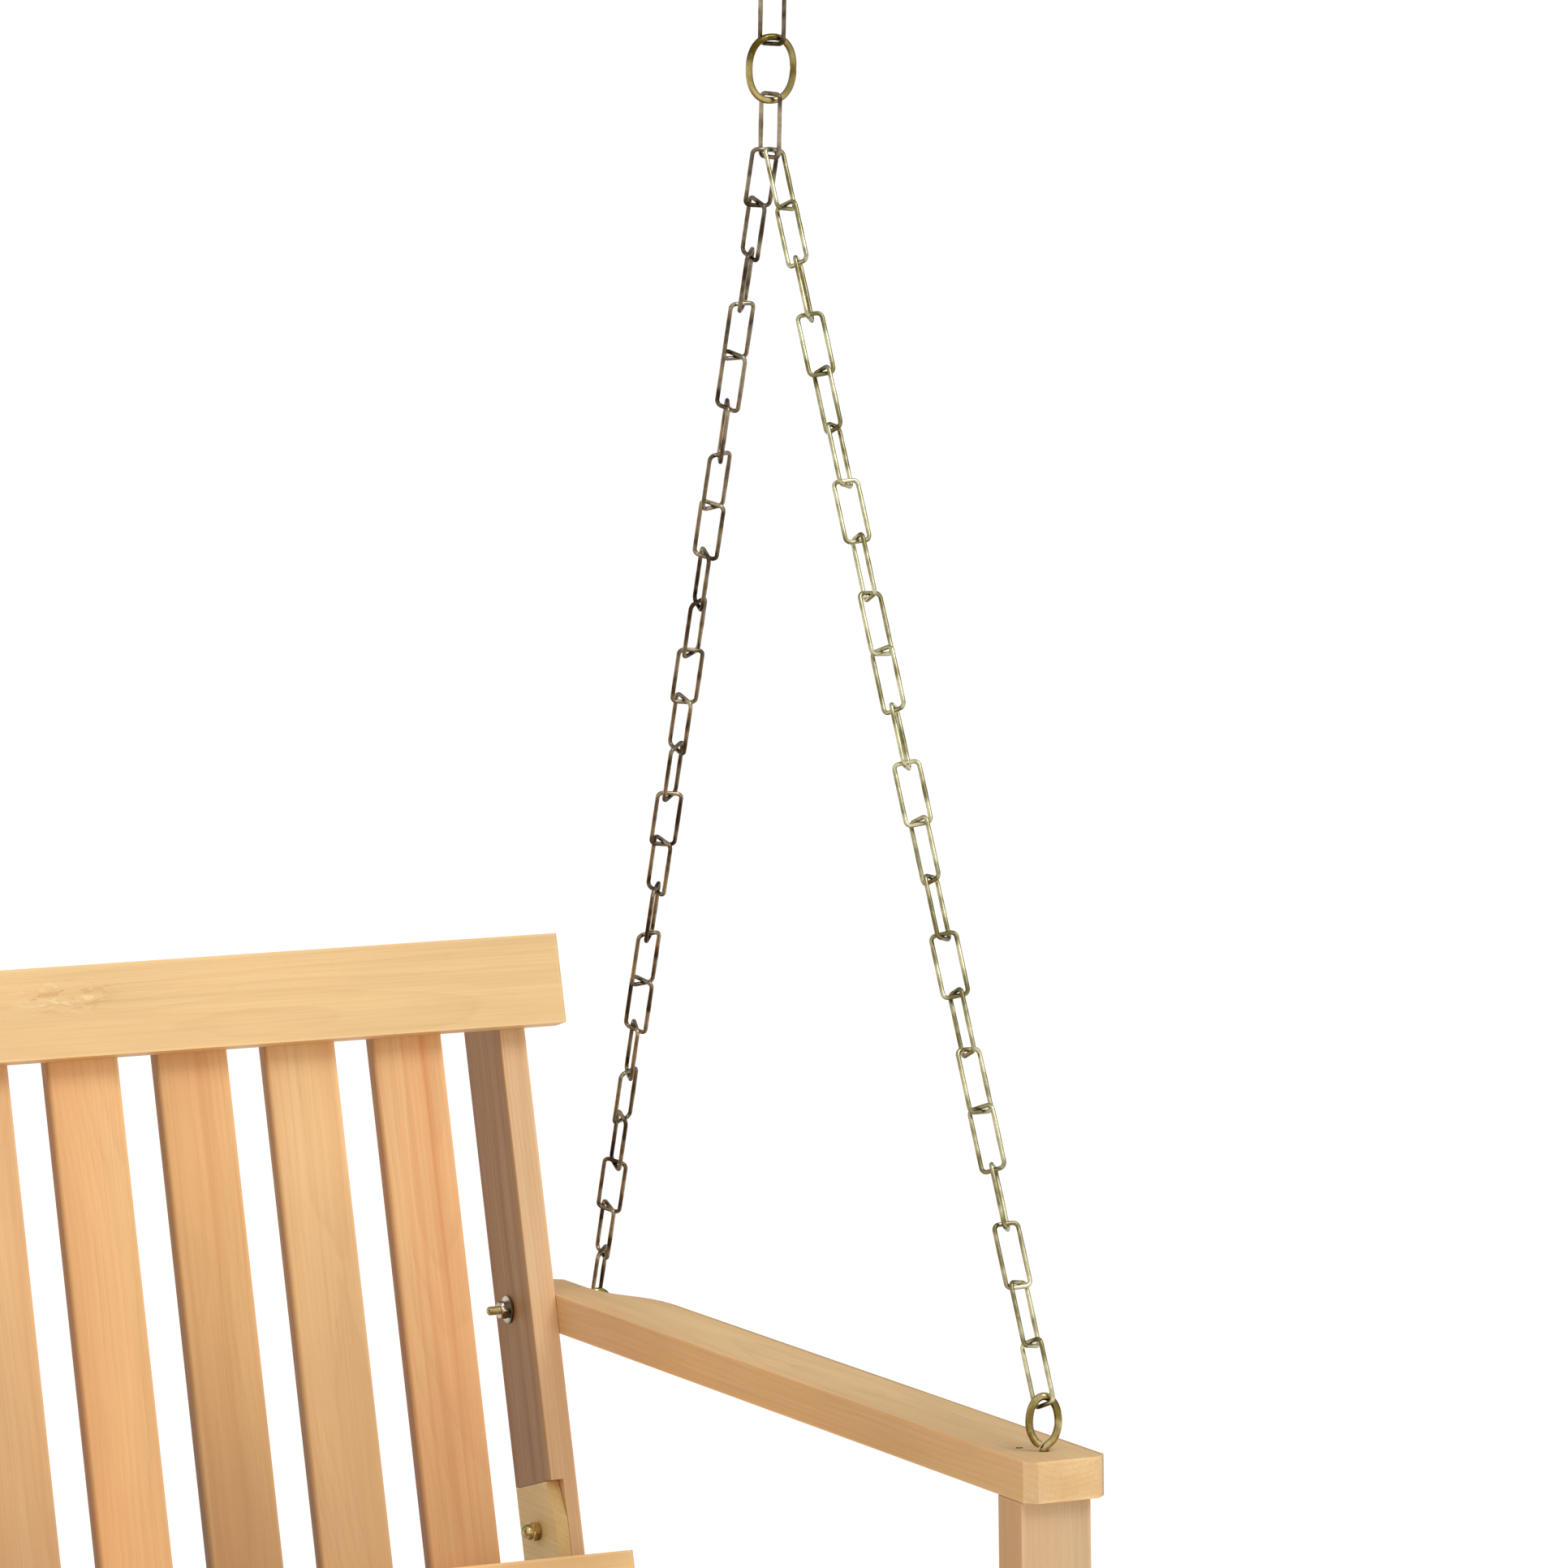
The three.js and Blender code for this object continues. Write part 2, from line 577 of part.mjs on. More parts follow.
function plumbSide(side) {
  const group = new THREE.Group();
  const at = (z) => new THREE.Vector3(SLING_X, 0, z);
  group.add(ceilingHanger(side));
  group.add(node("upper_chain_" + side, chain(
    at(HOOK_Z), at(RING_TOP), UPPER_LINKS, level(UPPER_ROLL.start), UPPER_ROLL.step,
  ), plated()));
  const ring = place(
    loop(RING.wire, RING.width, RING.height, RING.corner, 16, 6), at(RING_TOP - RING_INNER / 2),
    Z, new THREE.Vector3(0, 1, 0),
  );
  group.add(node("gather_ring_" + side, ring, plated()));
  const link = place(
    loop(WIRE, LINK_WIDTH, PITCH + 2 * WIRE, LINK_CORNER, 8, 6),
    at((GATHER_TOP + APEX_Z) / 2), Z, level(GATHER_ROLL),
  );
  group.add(node("gather_link_" + side, link, plated()));
  return group;
}
const plumbLeft = plumbSide("left");
plumbLeft.scale.x = -1;

bench.position.set(0, -apex.y, -apex.z);
const hung = new THREE.Group();
hung.add(bench);
hung.rotation.x = -rad(HANG_TILT);
hung.position.z = APEX_Z;

const swing = new THREE.Group();
swing.name = "porch_swing";
swing.add(plumbSide("right"), plumbLeft, hung);

export default swing;
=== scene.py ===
"""The looks of a two-seat porch swing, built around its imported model.

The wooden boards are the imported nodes, given eased edges and a grain of their own. The chains, rings,
eye bolts, nuts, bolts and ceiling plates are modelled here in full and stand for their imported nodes.
Lengths are in millimetres in the design values and in metres in every mesh.
"""

import math
import random

import bmesh
import bpy
from mathutils import Matrix, Vector


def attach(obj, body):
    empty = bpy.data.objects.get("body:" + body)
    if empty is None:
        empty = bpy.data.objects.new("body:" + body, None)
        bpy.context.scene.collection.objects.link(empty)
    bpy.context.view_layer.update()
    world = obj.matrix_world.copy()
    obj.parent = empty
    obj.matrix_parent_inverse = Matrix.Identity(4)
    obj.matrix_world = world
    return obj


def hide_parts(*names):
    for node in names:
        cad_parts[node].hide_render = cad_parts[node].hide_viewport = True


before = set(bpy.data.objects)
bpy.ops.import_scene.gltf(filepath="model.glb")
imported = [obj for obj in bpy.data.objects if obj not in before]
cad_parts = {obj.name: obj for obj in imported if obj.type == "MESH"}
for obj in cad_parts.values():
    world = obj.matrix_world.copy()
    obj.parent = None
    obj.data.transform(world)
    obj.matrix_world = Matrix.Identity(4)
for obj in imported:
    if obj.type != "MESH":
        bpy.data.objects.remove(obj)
for name in ("Cube", "Light", "Camera"):
    if name in bpy.data.objects:
        bpy.data.objects.remove(bpy.data.objects[name])
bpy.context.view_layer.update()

MM = 0.001
SIDES = ("right", "left")

# ---- the swing's design values, in millimetres and degrees ------------------------
GAP = 0.3
HANG_TILT = 4.63
BACK_LEAN = 14.4
BOARD = 18
HALF = 1119 / 2
ARM_TOP = 162.6
ARM_REAR_WIDTH = 30
POST_WIDTH = 44
UPRIGHT_DEPTH = 58.7
RAIL_HEIGHT = 58
BACK_OPENING = 341.5
SLAT_COUNT = 14
SLAT_PITCH = 73.4
SLAT_THICKNESS = 9
SEAT_SLAT_COUNT = 8

PITCH = 35
LINK_WIDTH = 17.5
LINK_WIRE = 2.7
LINK_CORNER = 3.2
END_PLAY = 0.6
UPPER_LINKS = 4
SLING_X = HALF + 2
LEG_SPREAD = 3.9
GATHER_ROLL = 23.5
UPPER_ROLL = -75.2
# how far each link is rolled about its chain from facing this azimuth, from the gather link down
FACING = 65.2
FRONT_ROLLS = (
    -48, 38, -82, -10, 50, -66, -18, 63, -38, 34, -80,
    -5, 48, -65, 0, 60, -34, 23, -84, -22, -56, 40,
)
REAR_ROLLS = (
    -12, 49, -80, -26, 26, 83, -38, 18, 68, -57, -10, 49,
    -65, -10, 44, -79, -32, 28, 74, -52, 65, 18, 59, -72,
)
# the front eye stands where even steps of this size would have turned the last link
FRONT_EYE_TURN = -66 * (len(FRONT_ROLLS) - 1)

RING = {"wire": 4.2, "width": 33, "height": 42, "squareness": 2.25}
FRONT_EYE = {"wire": 4.6, "width": 22, "height": 33, "x": 26, "y": -612, "shank": 66, "lift": 1,
             "plain": 6}
REAR_EYE = {"wire": 4.6, "width": 22, "y": 76, "z": 150, "stick_out": 15, "stand_off": 1,
            "plain": 20}
HANGER = {"wire": 6, "width": 28, "drop": 30, "plate": (74, 38, 4), "corner": 6, "chamfer": 0.8,
          "hole_x": 27, "hole": 7}
SHANK = 6
THREAD_PITCH = 1.0
THREAD_DEPTH = 0.32
LAP_BOLT_V = 20
POST_BOLT = (-619, -98)
NUT = {"width": 11.5, "height": 7}
WASHER = {"width": 18, "thickness": 1.8}
DOME = {"radius": 5.0, "centre": 7.0, "rise": 4.9}
BOLT_HEAD = {"radius": 6.9, "rim": 0.7, "rise": 3.1}
BOLT_ENDS = {"lap": 8, "post": 10}
BACK_SCREW = {"across": 13, "above": 22, "width": 6.0}
SEAT_SCREW = {"across": 15, "width": 7.0}
ARM_SCREW = {"x": 18, "y": -596, "width": 5.6}
SCREW_RISE = 0.9

HOOK_Z = -HANGER["drop"]
RING_TOP = HOOK_Z - UPPER_LINKS * PITCH + 2 * END_PLAY
RING_INNER = RING["height"] - 2 * RING["wire"]
GATHER_TOP = RING_TOP - RING_INNER
APEX_Z = GATHER_TOP - PITCH + 2 * END_PLAY

X, Y, Z = Vector((1, 0, 0)), Vector((0, 1, 0)), Vector((0, 0, 1))
LEAN = Matrix.Rotation(-math.radians(BACK_LEAN), 4, "X")
TILT = Matrix.Rotation(-math.radians(HANG_TILT), 4, "X")
MIRROR = {"right": Matrix.Identity(4), "left": Matrix.Scale(-1, 4, X)}


def level(degrees):
    """A level unit vector at an azimuth from +X."""
    return Vector((math.cos(math.radians(degrees)), math.sin(math.radians(degrees)), 0))


def back(v, n):
    """A point of the back as (y, z), from v up the lean and n out of its front plane."""
    point = LEAN @ Vector((0, -n, v))
    return point.y, point.z


# ---- mesh making ------------------------------------------------------------------
def add_object(name, verts, faces, matrix, material, body, smooth=True):
    """A mesh piece from millimetre points, put in place by `matrix` and riding on `body`."""
    mesh = bpy.data.meshes.new(name)
    mesh.from_pydata([(matrix @ Vector(v)) * MM for v in verts], [], faces)
    shaped = bmesh.new()
    shaped.from_mesh(mesh)
    bmesh.ops.recalc_face_normals(shaped, faces=shaped.faces)
    shaped.to_mesh(mesh)
    shaped.free()
    if smooth:
        mesh.shade_smooth()
    else:
        mesh.shade_flat()
    piece = bpy.data.objects.new(name, mesh)
    bpy.context.scene.collection.objects.link(piece)
    piece.data.materials.append(material)
    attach(piece, body)
    return piece


class Parts:
    """Collects solids in one list of points and faces."""

    def __init__(self):
        self.verts = []
        self.faces = []

    def add(self, solid, matrix=None):
        verts, faces = solid
        start = len(self.verts)
        self.verts += [matrix @ Vector(v) if matrix else Vector(v) for v in verts]
        self.faces += [[start + i for i in face] for face in faces]
        return self


def grid_faces(rows, columns, close_rows, close_columns):
    """Quads of a grid of points stored row by row."""
    faces = []
    for i in range(rows if close_rows else rows - 1):
        for j in range(columns if close_columns else columns - 1):
            k, m = (i + 1) % rows, (j + 1) % columns
            faces.append([i * columns + j, i * columns + m, k * columns + m, k * columns + j])
    return faces


def sweep(path, radius, closed, sides=12):
    """A wire along a path in the XY plane, its radius a function of the share of the path."""
    count = len(path)
    verts = []
    for i, point in enumerate(path):
        before = path[i - 1] if closed or i else path[0]
        after = path[(i + 1) % count] if closed or i < count - 1 else path[-1]
        along = (after - before).normalized()
        across = Vector((along.y, -along.x, 0))
        r = radius(i / count)
        for j in range(sides):
            turn = 2 * math.pi * j / sides
            verts.append(point + r * (math.cos(turn) * across + math.sin(turn) * Z))
    faces = grid_faces(count, sides, closed, True)
    if not closed:
        faces += [list(range(sides)), list(range((count - 1) * sides, count * sides))]
    return verts, faces


def oblong(width, height, corner, per_corner=10, per_side=6):
    """A closed path round a rectangle of centre lines with round corners, height along Y."""
    path = []
    half_x, half_y = width / 2 - corner, height / 2 - corner
    for quarter in range(4):
        middle = Vector((half_x if quarter in (0, 3) else -half_x, half_y if quarter < 2 else -half_y, 0))
        for step in range(per_corner + 1):
            turn = math.radians(90 * (quarter + step / per_corner))
            path.append(middle + corner * Vector((math.cos(turn), math.sin(turn), 0)))
    filled = []
    for i, point in enumerate(path):
        after = path[(i + 1) % len(path)]
        filled.append(point)
        if (after - point).length > 2 * corner / per_corner:
            filled += [point.lerp(after, k / per_side) for k in range(1, per_side)]
    return filled


def oval(width, height, power, steps=72):
    """A closed path round an oval of centre lines, squarer as the power rises above 2."""
    path = []
    for step in range(steps):
        turn = 2 * math.pi * step / steps
        x, y = math.cos(turn), math.sin(turn)
        path.append(Vector((
            math.copysign(abs(x) ** (2 / power), x) * width / 2,
            math.copysign(abs(y) ** (2 / power), y) * height / 2, 0,
        )))
    return path


def smooth_path(points, steps=8):
    """A Catmull-Rom curve through given points."""
    points = [Vector((x, y, 0)) for x, y in points]
    ends = [2 * points[0] - points[1], *points, 2 * points[-1] - points[-2]]
    path = []
    for a, b, c, d in zip(ends, ends[1:], ends[2:], ends[3:]):
        for k in range(steps):
            t = k / steps
            path.append(0.5 * (
                2 * b + (c - a) * t + (2 * a - 5 * b + 4 * c - d) * t * t
                + (3 * b - a - 3 * c + d) * t ** 3
            ))
    return [*path, points[-1]]


def turned(rings, sides=48):
    """A closed body about Z from rings of (radius, z), or (radius, z, share) of a hexagon's outline."""
    verts = []
    for ring in rings:
        radius, z, share = (*ring, 0)[:3]
        for j in range(sides):
            turn = 2 * math.pi * j / sides
            off_flat = (turn + math.pi / 6) % (math.pi / 3) - math.pi / 6
            reach = radius * (1 + share * (1 / math.cos(off_flat) - 1))
            verts.append((reach * math.cos(turn), reach * math.sin(turn), z))
    faces = grid_faces(len(rings), sides, False, True)
    faces += [list(range(sides)), list(range((len(rings) - 1) * sides, len(rings) * sides))]
    return verts, faces


def threaded(length, width, taper=1.2, sides=20, per_turn=6):
    """A screw thread about Z from z = 0 to its tapered end at z = length."""
    rows = round(length / THREAD_PITCH * per_turn)
    verts = []
    for i in range(rows + 1):
        z = length * i / rows
        for j in range(sides):
            phase = (z / THREAD_PITCH - j / sides) % 1
            radius = width / 2 - THREAD_DEPTH * abs(2 * phase - 1)
            radius = min(radius, width / 2 - taper + (length - z))
            turn = 2 * math.pi * j / sides
            verts.append((radius * math.cos(turn), radius * math.sin(turn), z))
    faces = grid_faces(rows + 1, sides, False, True)
    faces += [list(range(sides)), list(range(rows * sides, (rows + 1) * sides))]
    return verts, faces


def screw_head(width, rise, slot=0.16, sides=48, rings=14):
    """A round screw head on z = 0 with a cross recess in its crown."""
    verts = []
    for i in range(rings + 1):
        r = width / 2 * (1 - i / rings)
        for j in range(sides):
            turn = 2 * math.pi * j / sides
            x, y = r * math.cos(turn), r * math.sin(turn)
            z = rise * math.sqrt(max(0, 1 - (2 * r / width) ** 2.6))
            arm = min(abs(x), abs(y)) < slot * width / 2 and r < 0.58 * width / 2
            verts.append((x, y, z - (rise * 0.75 if arm else 0)))
    faces = grid_faces(rings + 1, sides, False, True)
    rim = len(verts)
    verts += [(v[0], v[1], -0.6) for v in verts[:sides]]
    faces += [[rim + j, rim + (j + 1) % sides, (j + 1) % sides, j] for j in range(sides)]
    faces += [list(range(rim, rim + sides)), list(range(rings * sides, (rings + 1) * sides))]
    return verts, faces


def frame_of(centre, up, normal):
    """A turn that lays a loop's height along `up` and its normal along `normal`, then moves it."""
    y = up.normalized()
    z = (normal - normal.dot(y) * y).normalized()
    x = y.cross(z)
    turn = Matrix((x, y, z)).transposed().to_4x4()
    return Matrix.Translation(centre) @ turn


def along_x(x, y, z, inwards=True):
    """Puts a body about Z on a line parallel to X, its +Z end pointing inwards or outwards."""
    turn = Matrix.Rotation(math.radians(-90 if inwards else 90), 4, "Y")
    return Matrix.Translation((x, y, z)) @ turn


# ---- node graphs ------------------------------------------------------------------
class Graph:
    """Adds nodes to a tree. An input given as a socket is linked, and any other value is set."""

    def __init__(self, tree):
        self.tree = tree

    def add(self, kind, inputs=None, **settings):
        node = self.tree.nodes.new(kind)
        for key, value in settings.items():
            setattr(node, key, value)
        for key, value in (inputs or {}).items():
            if isinstance(value, bpy.types.NodeSocket):
                self.tree.links.new(value, node.inputs[key])
            else:
                node.inputs[key].default_value = value
        return node

    def math(self, operation, a, b=0.0, c=0.0):
        return self.add("ShaderNodeMath", {0: a, 1: b, 2: c}, operation=operation).outputs[0]

    def vector(self, operation, a, b=(0, 0, 0), output="Vector"):
        return self.add("ShaderNodeVectorMath", {0: a, 1: b}, operation=operation).outputs[output]

    def noise(self, vector, scale, detail=2.0, roughness=0.5):
        inputs = {"Vector": vector, "Scale": scale, "Detail": detail, "Roughness": roughness}
        return self.add("ShaderNodeTexNoise", inputs).outputs["Fac"]

    def stretch(self, vector, factors):
        return self.vector("MULTIPLY", vector, factors)

    def fade(self, value, start, end, low=0.0, high=1.0):
        inputs = {"Value": value, "From Min": start, "From Max": end, "To Min": low, "To Max": high}
        node = self.add("ShaderNodeMapRange", inputs, interpolation_type="SMOOTHSTEP")
        return node.outputs["Result"]

    def mix(self, share, a, b, blend="MIX"):
        inputs = {"Factor": share, 6: a, 7: b}
        node = self.add("ShaderNodeMix", inputs, data_type="RGBA", blend_type=blend)
        return node.outputs[2]

    def split(self, vector):
        return self.add("ShaderNodeSeparateXYZ", {0: vector}).outputs


def colour(red, green, blue):
    """An sRGB colour of 0 to 255 as linear RGBA."""
    share = [c / 255 for c in (red, green, blue)]
    return (*[c / 12.92 if c <= 0.04045 else ((c + 0.055) / 1.055) ** 2.4 for c in share], 1.0)


def new_material(name):
    """A material with only its shader and output, as (material, graph, shader)."""
    material = bpy.data.materials.new(name)
    material.use_nodes = True
    return material, Graph(material.node_tree), material.node_tree.nodes["Principled BSDF"]


# ---- wood -------------------------------------------------------------------------
WOOD_INPUTS = (
    ("Local", "NodeSocketVector"), ("Half", "NodeSocketVector"), ("Pith", "NodeSocketVector"),
    ("Seed", "NodeSocketVector"), ("Pale", "NodeSocketColor"), ("Deep", "NodeSocketColor"),
    ("Warm", "NodeSocketColor"), ("Streaks", "NodeSocketFloat"), ("Ring", "NodeSocketFloat"),
    ("Figure", "NodeSocketFloat"), ("Lower End Shade", "NodeSocketFloat"), ("End", "NodeSocketFloat"),
    ("Shaded Face", "NodeSocketVector"), ("Tear", "NodeSocketVector"),
)
WOOD_OUTPUTS = (
    ("Color", "NodeSocketColor"), ("Roughness", "NodeSocketFloat"), ("Height", "NodeSocketFloat"),
)
# what painted shade multiplies a colour by on a board's shaded face, and the colour of fibres freshly
# lifted
PAINTED_SHADE_TINT = (0.50, 0.40, 0.23, 1)
LIFTED_FIBRE = (0.95, 0.78, 0.50, 1)


def wood_group():
    """Grain of a sawn board: growth rings round a pith line, fibres, streaks, ends and edges."""
    tree = bpy.data.node_groups.new("sawn_wood", "ShaderNodeTree")
    for name, kind in WOOD_INPUTS:
        tree.interface.new_socket(name, in_out="INPUT", socket_type=kind)
    for name, kind in WOOD_OUTPUTS:
        tree.interface.new_socket(name, in_out="OUTPUT", socket_type=kind)
    g = Graph(tree)
    given = g.add("NodeGroupInput").outputs
    grain = g.vector("ADD", given["Local"], given["Seed"])

    # growth rings, drawn as distance from a slightly wandering pith line
    wander = g.noise(g.stretch(grain, (2.2, 9, 9)), 1.0, 2.0)
    ripple = g.noise(g.stretch(grain, (14, 60, 60)), 1.0, 2.0)
    from_pith = g.vector("SUBTRACT", given["Local"], given["Pith"])
    radial = g.vector("LENGTH", g.stretch(from_pith, (0.02, 1, 1)), output="Value")
    radial = g.math("MULTIPLY_ADD", wander, 0.03, radial)
    radial = g.math("MULTIPLY_ADD", ripple, 0.0022, radial)
    phase = g.math("FRACT", g.math("DIVIDE", radial, given["Ring"]))
    late = g.math("POWER", phase, 2.6)
    late = g.math("MULTIPLY", late, g.fade(phase, 1.0, 0.93))

    # fibres, pores, reddish heartwood streaks and broad clouds
    fibre = g.noise(g.stretch(grain, (9, 620, 620)), 1.0, 3.0, 0.6)
    pores = g.noise(g.stretch(grain, (90, 2600, 2600)), 1.0, 2.0, 0.6)
    streak = g.fade(g.noise(g.stretch(grain, (1.1, 95, 95)), 1.0, 4.0, 0.6), 0.46, 0.70)
    band = g.fade(g.noise(g.stretch(grain, (1.6, 26, 26)), 1.0, 2.0, 0.5), 0.35, 0.68)
    cloud = g.noise(g.stretch(grain, (3.5, 13, 13)), 1.0, 3.0, 0.55)
    fleck = g.fade(g.noise(g.stretch(grain, (60, 700, 700)), 1.0, 2.0, 0.5), 0.66, 0.78)

    # how near this point is to the board's ends and to its long edges
    inside = g.vector("SUBTRACT", given["Half"], g.vector("ABSOLUTE", given["Local"]))
    in_x, in_y, in_z = g.split(inside)
    end = g.fade(in_x, 0.0011, 0.0005)
    pair_low = g.math("MINIMUM", in_x, in_y)
    pair_high = g.math("MAXIMUM", in_x, in_y)
    to_edge = g.math("MAXIMUM", pair_low, g.math("MINIMUM", pair_high, in_z))
    to_edge = g.math("MULTIPLY_ADD", cloud, -0.0016, to_edge)
    edge = g.fade(to_edge, 0.0016, -0.0002)

    # painted shade on one face of the board, and painted shade that darkens the board towards its lower
    # end
    share = g.vector("DIVIDE", given["Local"], given["Half"])
    to_heart = g.vector("DOT_PRODUCT", share, given["Shaded Face"], output="Value")
    heart = g.fade(g.math("MULTIPLY_ADD", cloud, 0.08, to_heart), 0.88, 1.03)
    share_x, _, _ = g.split(share)
    foot = g.math("MULTIPLY", g.fade(share_x, 0.75, -1.0), given["Lower End Shade"])

    # fibres torn out by the planer, over a few centimetres of one face
    off_tear = g.stretch(g.vector("SUBTRACT", given["Local"], given["Tear"]), (22, 70, 200))
    near_tear = g.fade(g.vector("LENGTH", off_tear, output="Value"), 1.0, 0.35)
    torn = g.noise(g.stretch(grain, (70, 260, 260)), 1.0, 3.0, 0.6)
    lifted = g.math("MULTIPLY", near_tear, g.fade(torn, 0.57, 0.61))
    hollow = g.math("MULTIPLY", near_tear, g.fade(torn, 0.44, 0.40))

    deep = g.math("MULTIPLY_ADD", late, given["Figure"], g.fade(fibre, 0.35, 0.75, 0.0, 0.25))
    deep = g.math("MULTIPLY_ADD", fleck, 0.20, deep)
    surface = g.mix(deep, given["Pale"], given["Deep"])
    surface = g.mix(g.math("MULTIPLY", band, 0.45), surface, given["Warm"])
    surface = g.mix(g.math("MULTIPLY", streak, given["Streaks"]), surface, given["Warm"])
    # painted shade: the lower end drawn deeper
    surface = g.mix(g.math("MULTIPLY", foot, 0.55), surface, given["Deep"])
    # painted shade: one face of the board multiplied darker
    surface = g.mix(heart, surface, g.mix(1.0, surface, PAINTED_SHADE_TINT, "MULTIPLY"))
    surface = g.mix(g.math("MULTIPLY", lifted, 0.35), surface, LIFTED_FIBRE)
    surface = g.mix(g.math("MULTIPLY", hollow, 0.5), surface, given["Deep"])
    shade = g.fade(cloud, 0.25, 0.75, 0.90, 1.07)
    # painted shade, darker towards the lower end
    shade = g.math("MULTIPLY", shade, g.math("MULTIPLY_ADD", foot, -0.16, 1.0))
    stained = g.math("MULTIPLY", g.math("MULTIPLY", streak, given["Streaks"]), -0.13)
    shade = g.math("MULTIPLY", shade, g.math("ADD", stained, 1.0))
    dull = g.math("SUBTRACT", 1.0, g.math("MULTIPLY", end, given["End"]))
    shade = g.math("MULTIPLY", shade, dull)
    # edges a tenth lighter: partly wear, partly painted highlight
    shade = g.math("MULTIPLY", shade, g.math("MULTIPLY_ADD", edge, 0.10, 1.0))
    shaded = g.vector("SCALE", surface)
    g.tree.links.new(shade, shaded.node.inputs["Scale"])

    rough = g.fade(fibre, 0.3, 0.8, 0.50, 0.68)
    rough = g.math("MULTIPLY_ADD", end, 0.15, rough)
    height = g.math("MULTIPLY_ADD", late, 0.45, g.math("MULTIPLY", fibre, 0.6))
    height = g.math("MULTIPLY_ADD", pores, 0.35, height)
    height = g.math("MULTIPLY_ADD", fleck, -0.3, height)
    height = g.math("MULTIPLY_ADD", hollow, -1.5, height)
    height = g.math("MULTIPLY_ADD", lifted, 0.8, height)
    g.add("NodeGroupOutput", {"Color": shaded, "Roughness": rough, "Height": height})
    return tree


WOOD = wood_group()


def axes_of(turn, order):
    """The turn whose x, y and z columns are a board's length, width and thickness."""
    columns = [turn.to_3x3() @ {"X": X, "Y": Y, "Z": Z}[letter] for letter in order]
    columns[2] = columns[0].cross(columns[1])
    return Matrix(columns).transposed()


def local_box(node, axes):
    """Centre and half sizes of a packed board in its own axes, in metres."""
    points = [axes.transposed() @ v.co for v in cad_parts[node].data.vertices]
    low = Vector(map(min, *points))
    high = Vector(map(max, *points))
    return axes @ ((low + high) / 2), (high - low) / 2


def wood_material(node, axes, board_tone, streaks=0.3, ring=3.2, figure=0.22, foot=0.0, end=0.18,
                  heart=(0, 0, 0), tear=(9, 9, 9), bump=0.5):
    """The grain of one board, in its pale, deep and warm colour.

    `figure` is how dark the growth rings are, `foot` how much painted shade darkens the lower end and
    `end` the end grain.
    A vector in local axes points at the face that painted shade darkens, and `tear` is a place with torn
    fibres, in metres.
    """
    centre, half = local_box(node, axes)
    dice = random.Random(node)
    material, g, shader = new_material("wood_" + node)
    place = g.add("ShaderNodeTexCoord").outputs["Object"]
    local = g.add("ShaderNodeMapping", {
        "Vector": place, "Location": centre, "Rotation": axes.to_euler(),
    }, vector_type="TEXTURE").outputs["Vector"]
    pith = (0, dice.uniform(-1, 1) * 0.05, -dice.uniform(0.045, 0.10) * dice.choice((-1, 1)))
    group = g.add("ShaderNodeGroup", node_tree=WOOD)
    values = {
        "Half": half, "Pith": pith, "Seed": [dice.uniform(-9, 9) for _ in range(3)],
        "Pale": board_tone[0], "Deep": board_tone[1], "Warm": board_tone[2],
        "Streaks": streaks, "Ring": ring * MM,
        "Figure": figure, "Lower End Shade": foot, "End": end, "Shaded Face": heart, "Tear": tear,
    }
    for key, value in values.items():
        group.inputs[key].default_value = value
    g.tree.links.new(local, group.inputs["Local"])
    relief = g.add("ShaderNodeBump", {
        "Height": group.outputs["Height"], "Strength": bump, "Distance": 0.0004,
    })
    g.tree.links.new(group.outputs["Color"], shader.inputs["Base Color"])
    g.tree.links.new(group.outputs["Roughness"], shader.inputs["Roughness"])
    g.tree.links.new(relief.outputs["Normal"], shader.inputs["Normal"])
    return material


def tone(pale, deep_share=0.80, warmth=1.0):
    """Pale, deep and warm colour of a board from its pale sRGB colour."""
    r, g, b = pale
    deep = (r * (deep_share + 0.06), g * deep_share, b * (deep_share - 0.07))
    warm = (r * 0.97, g * (1 - 0.11 * warmth), b * (1 - 0.18 * warmth))
    return colour(*pale), colour(*deep), colour(*warm)


def smooth_by_angle():
    """A modifier tree that shades smooth everywhere but over edges sharper than 30 degrees."""
    tree = bpy.data.node_groups.new("smooth_by_angle", "GeometryNodeTree")
    tree.interface.new_socket("Geometry", in_out="INPUT", socket_type="NodeSocketGeometry")
    tree.interface.new_socket("Geometry", in_out="OUTPUT", socket_type="NodeSocketGeometry")
    g = Graph(tree)
    angle = g.add("GeometryNodeInputMeshEdgeAngle").outputs["Unsigned Angle"]
    sharp = g.add("FunctionNodeCompare", {0: angle, 1: math.radians(30)}, data_type="FLOAT",
                  operation="GREATER_THAN").outputs["Result"]
    faces = g.add("GeometryNodeSetShadeSmooth", {
        "Geometry": g.add("NodeGroupInput").outputs[0], "Shade Smooth": True,
    }, domain="FACE").outputs[0]
    edges = g.add("GeometryNodeSetShadeSmooth", {
        "Geometry": faces, "Selection": sharp, "Shade Smooth": False,
    }, domain="EDGE").outputs[0]
    g.add("NodeGroupOutput", {0: edges})
    return tree


SMOOTH = smooth_by_angle()


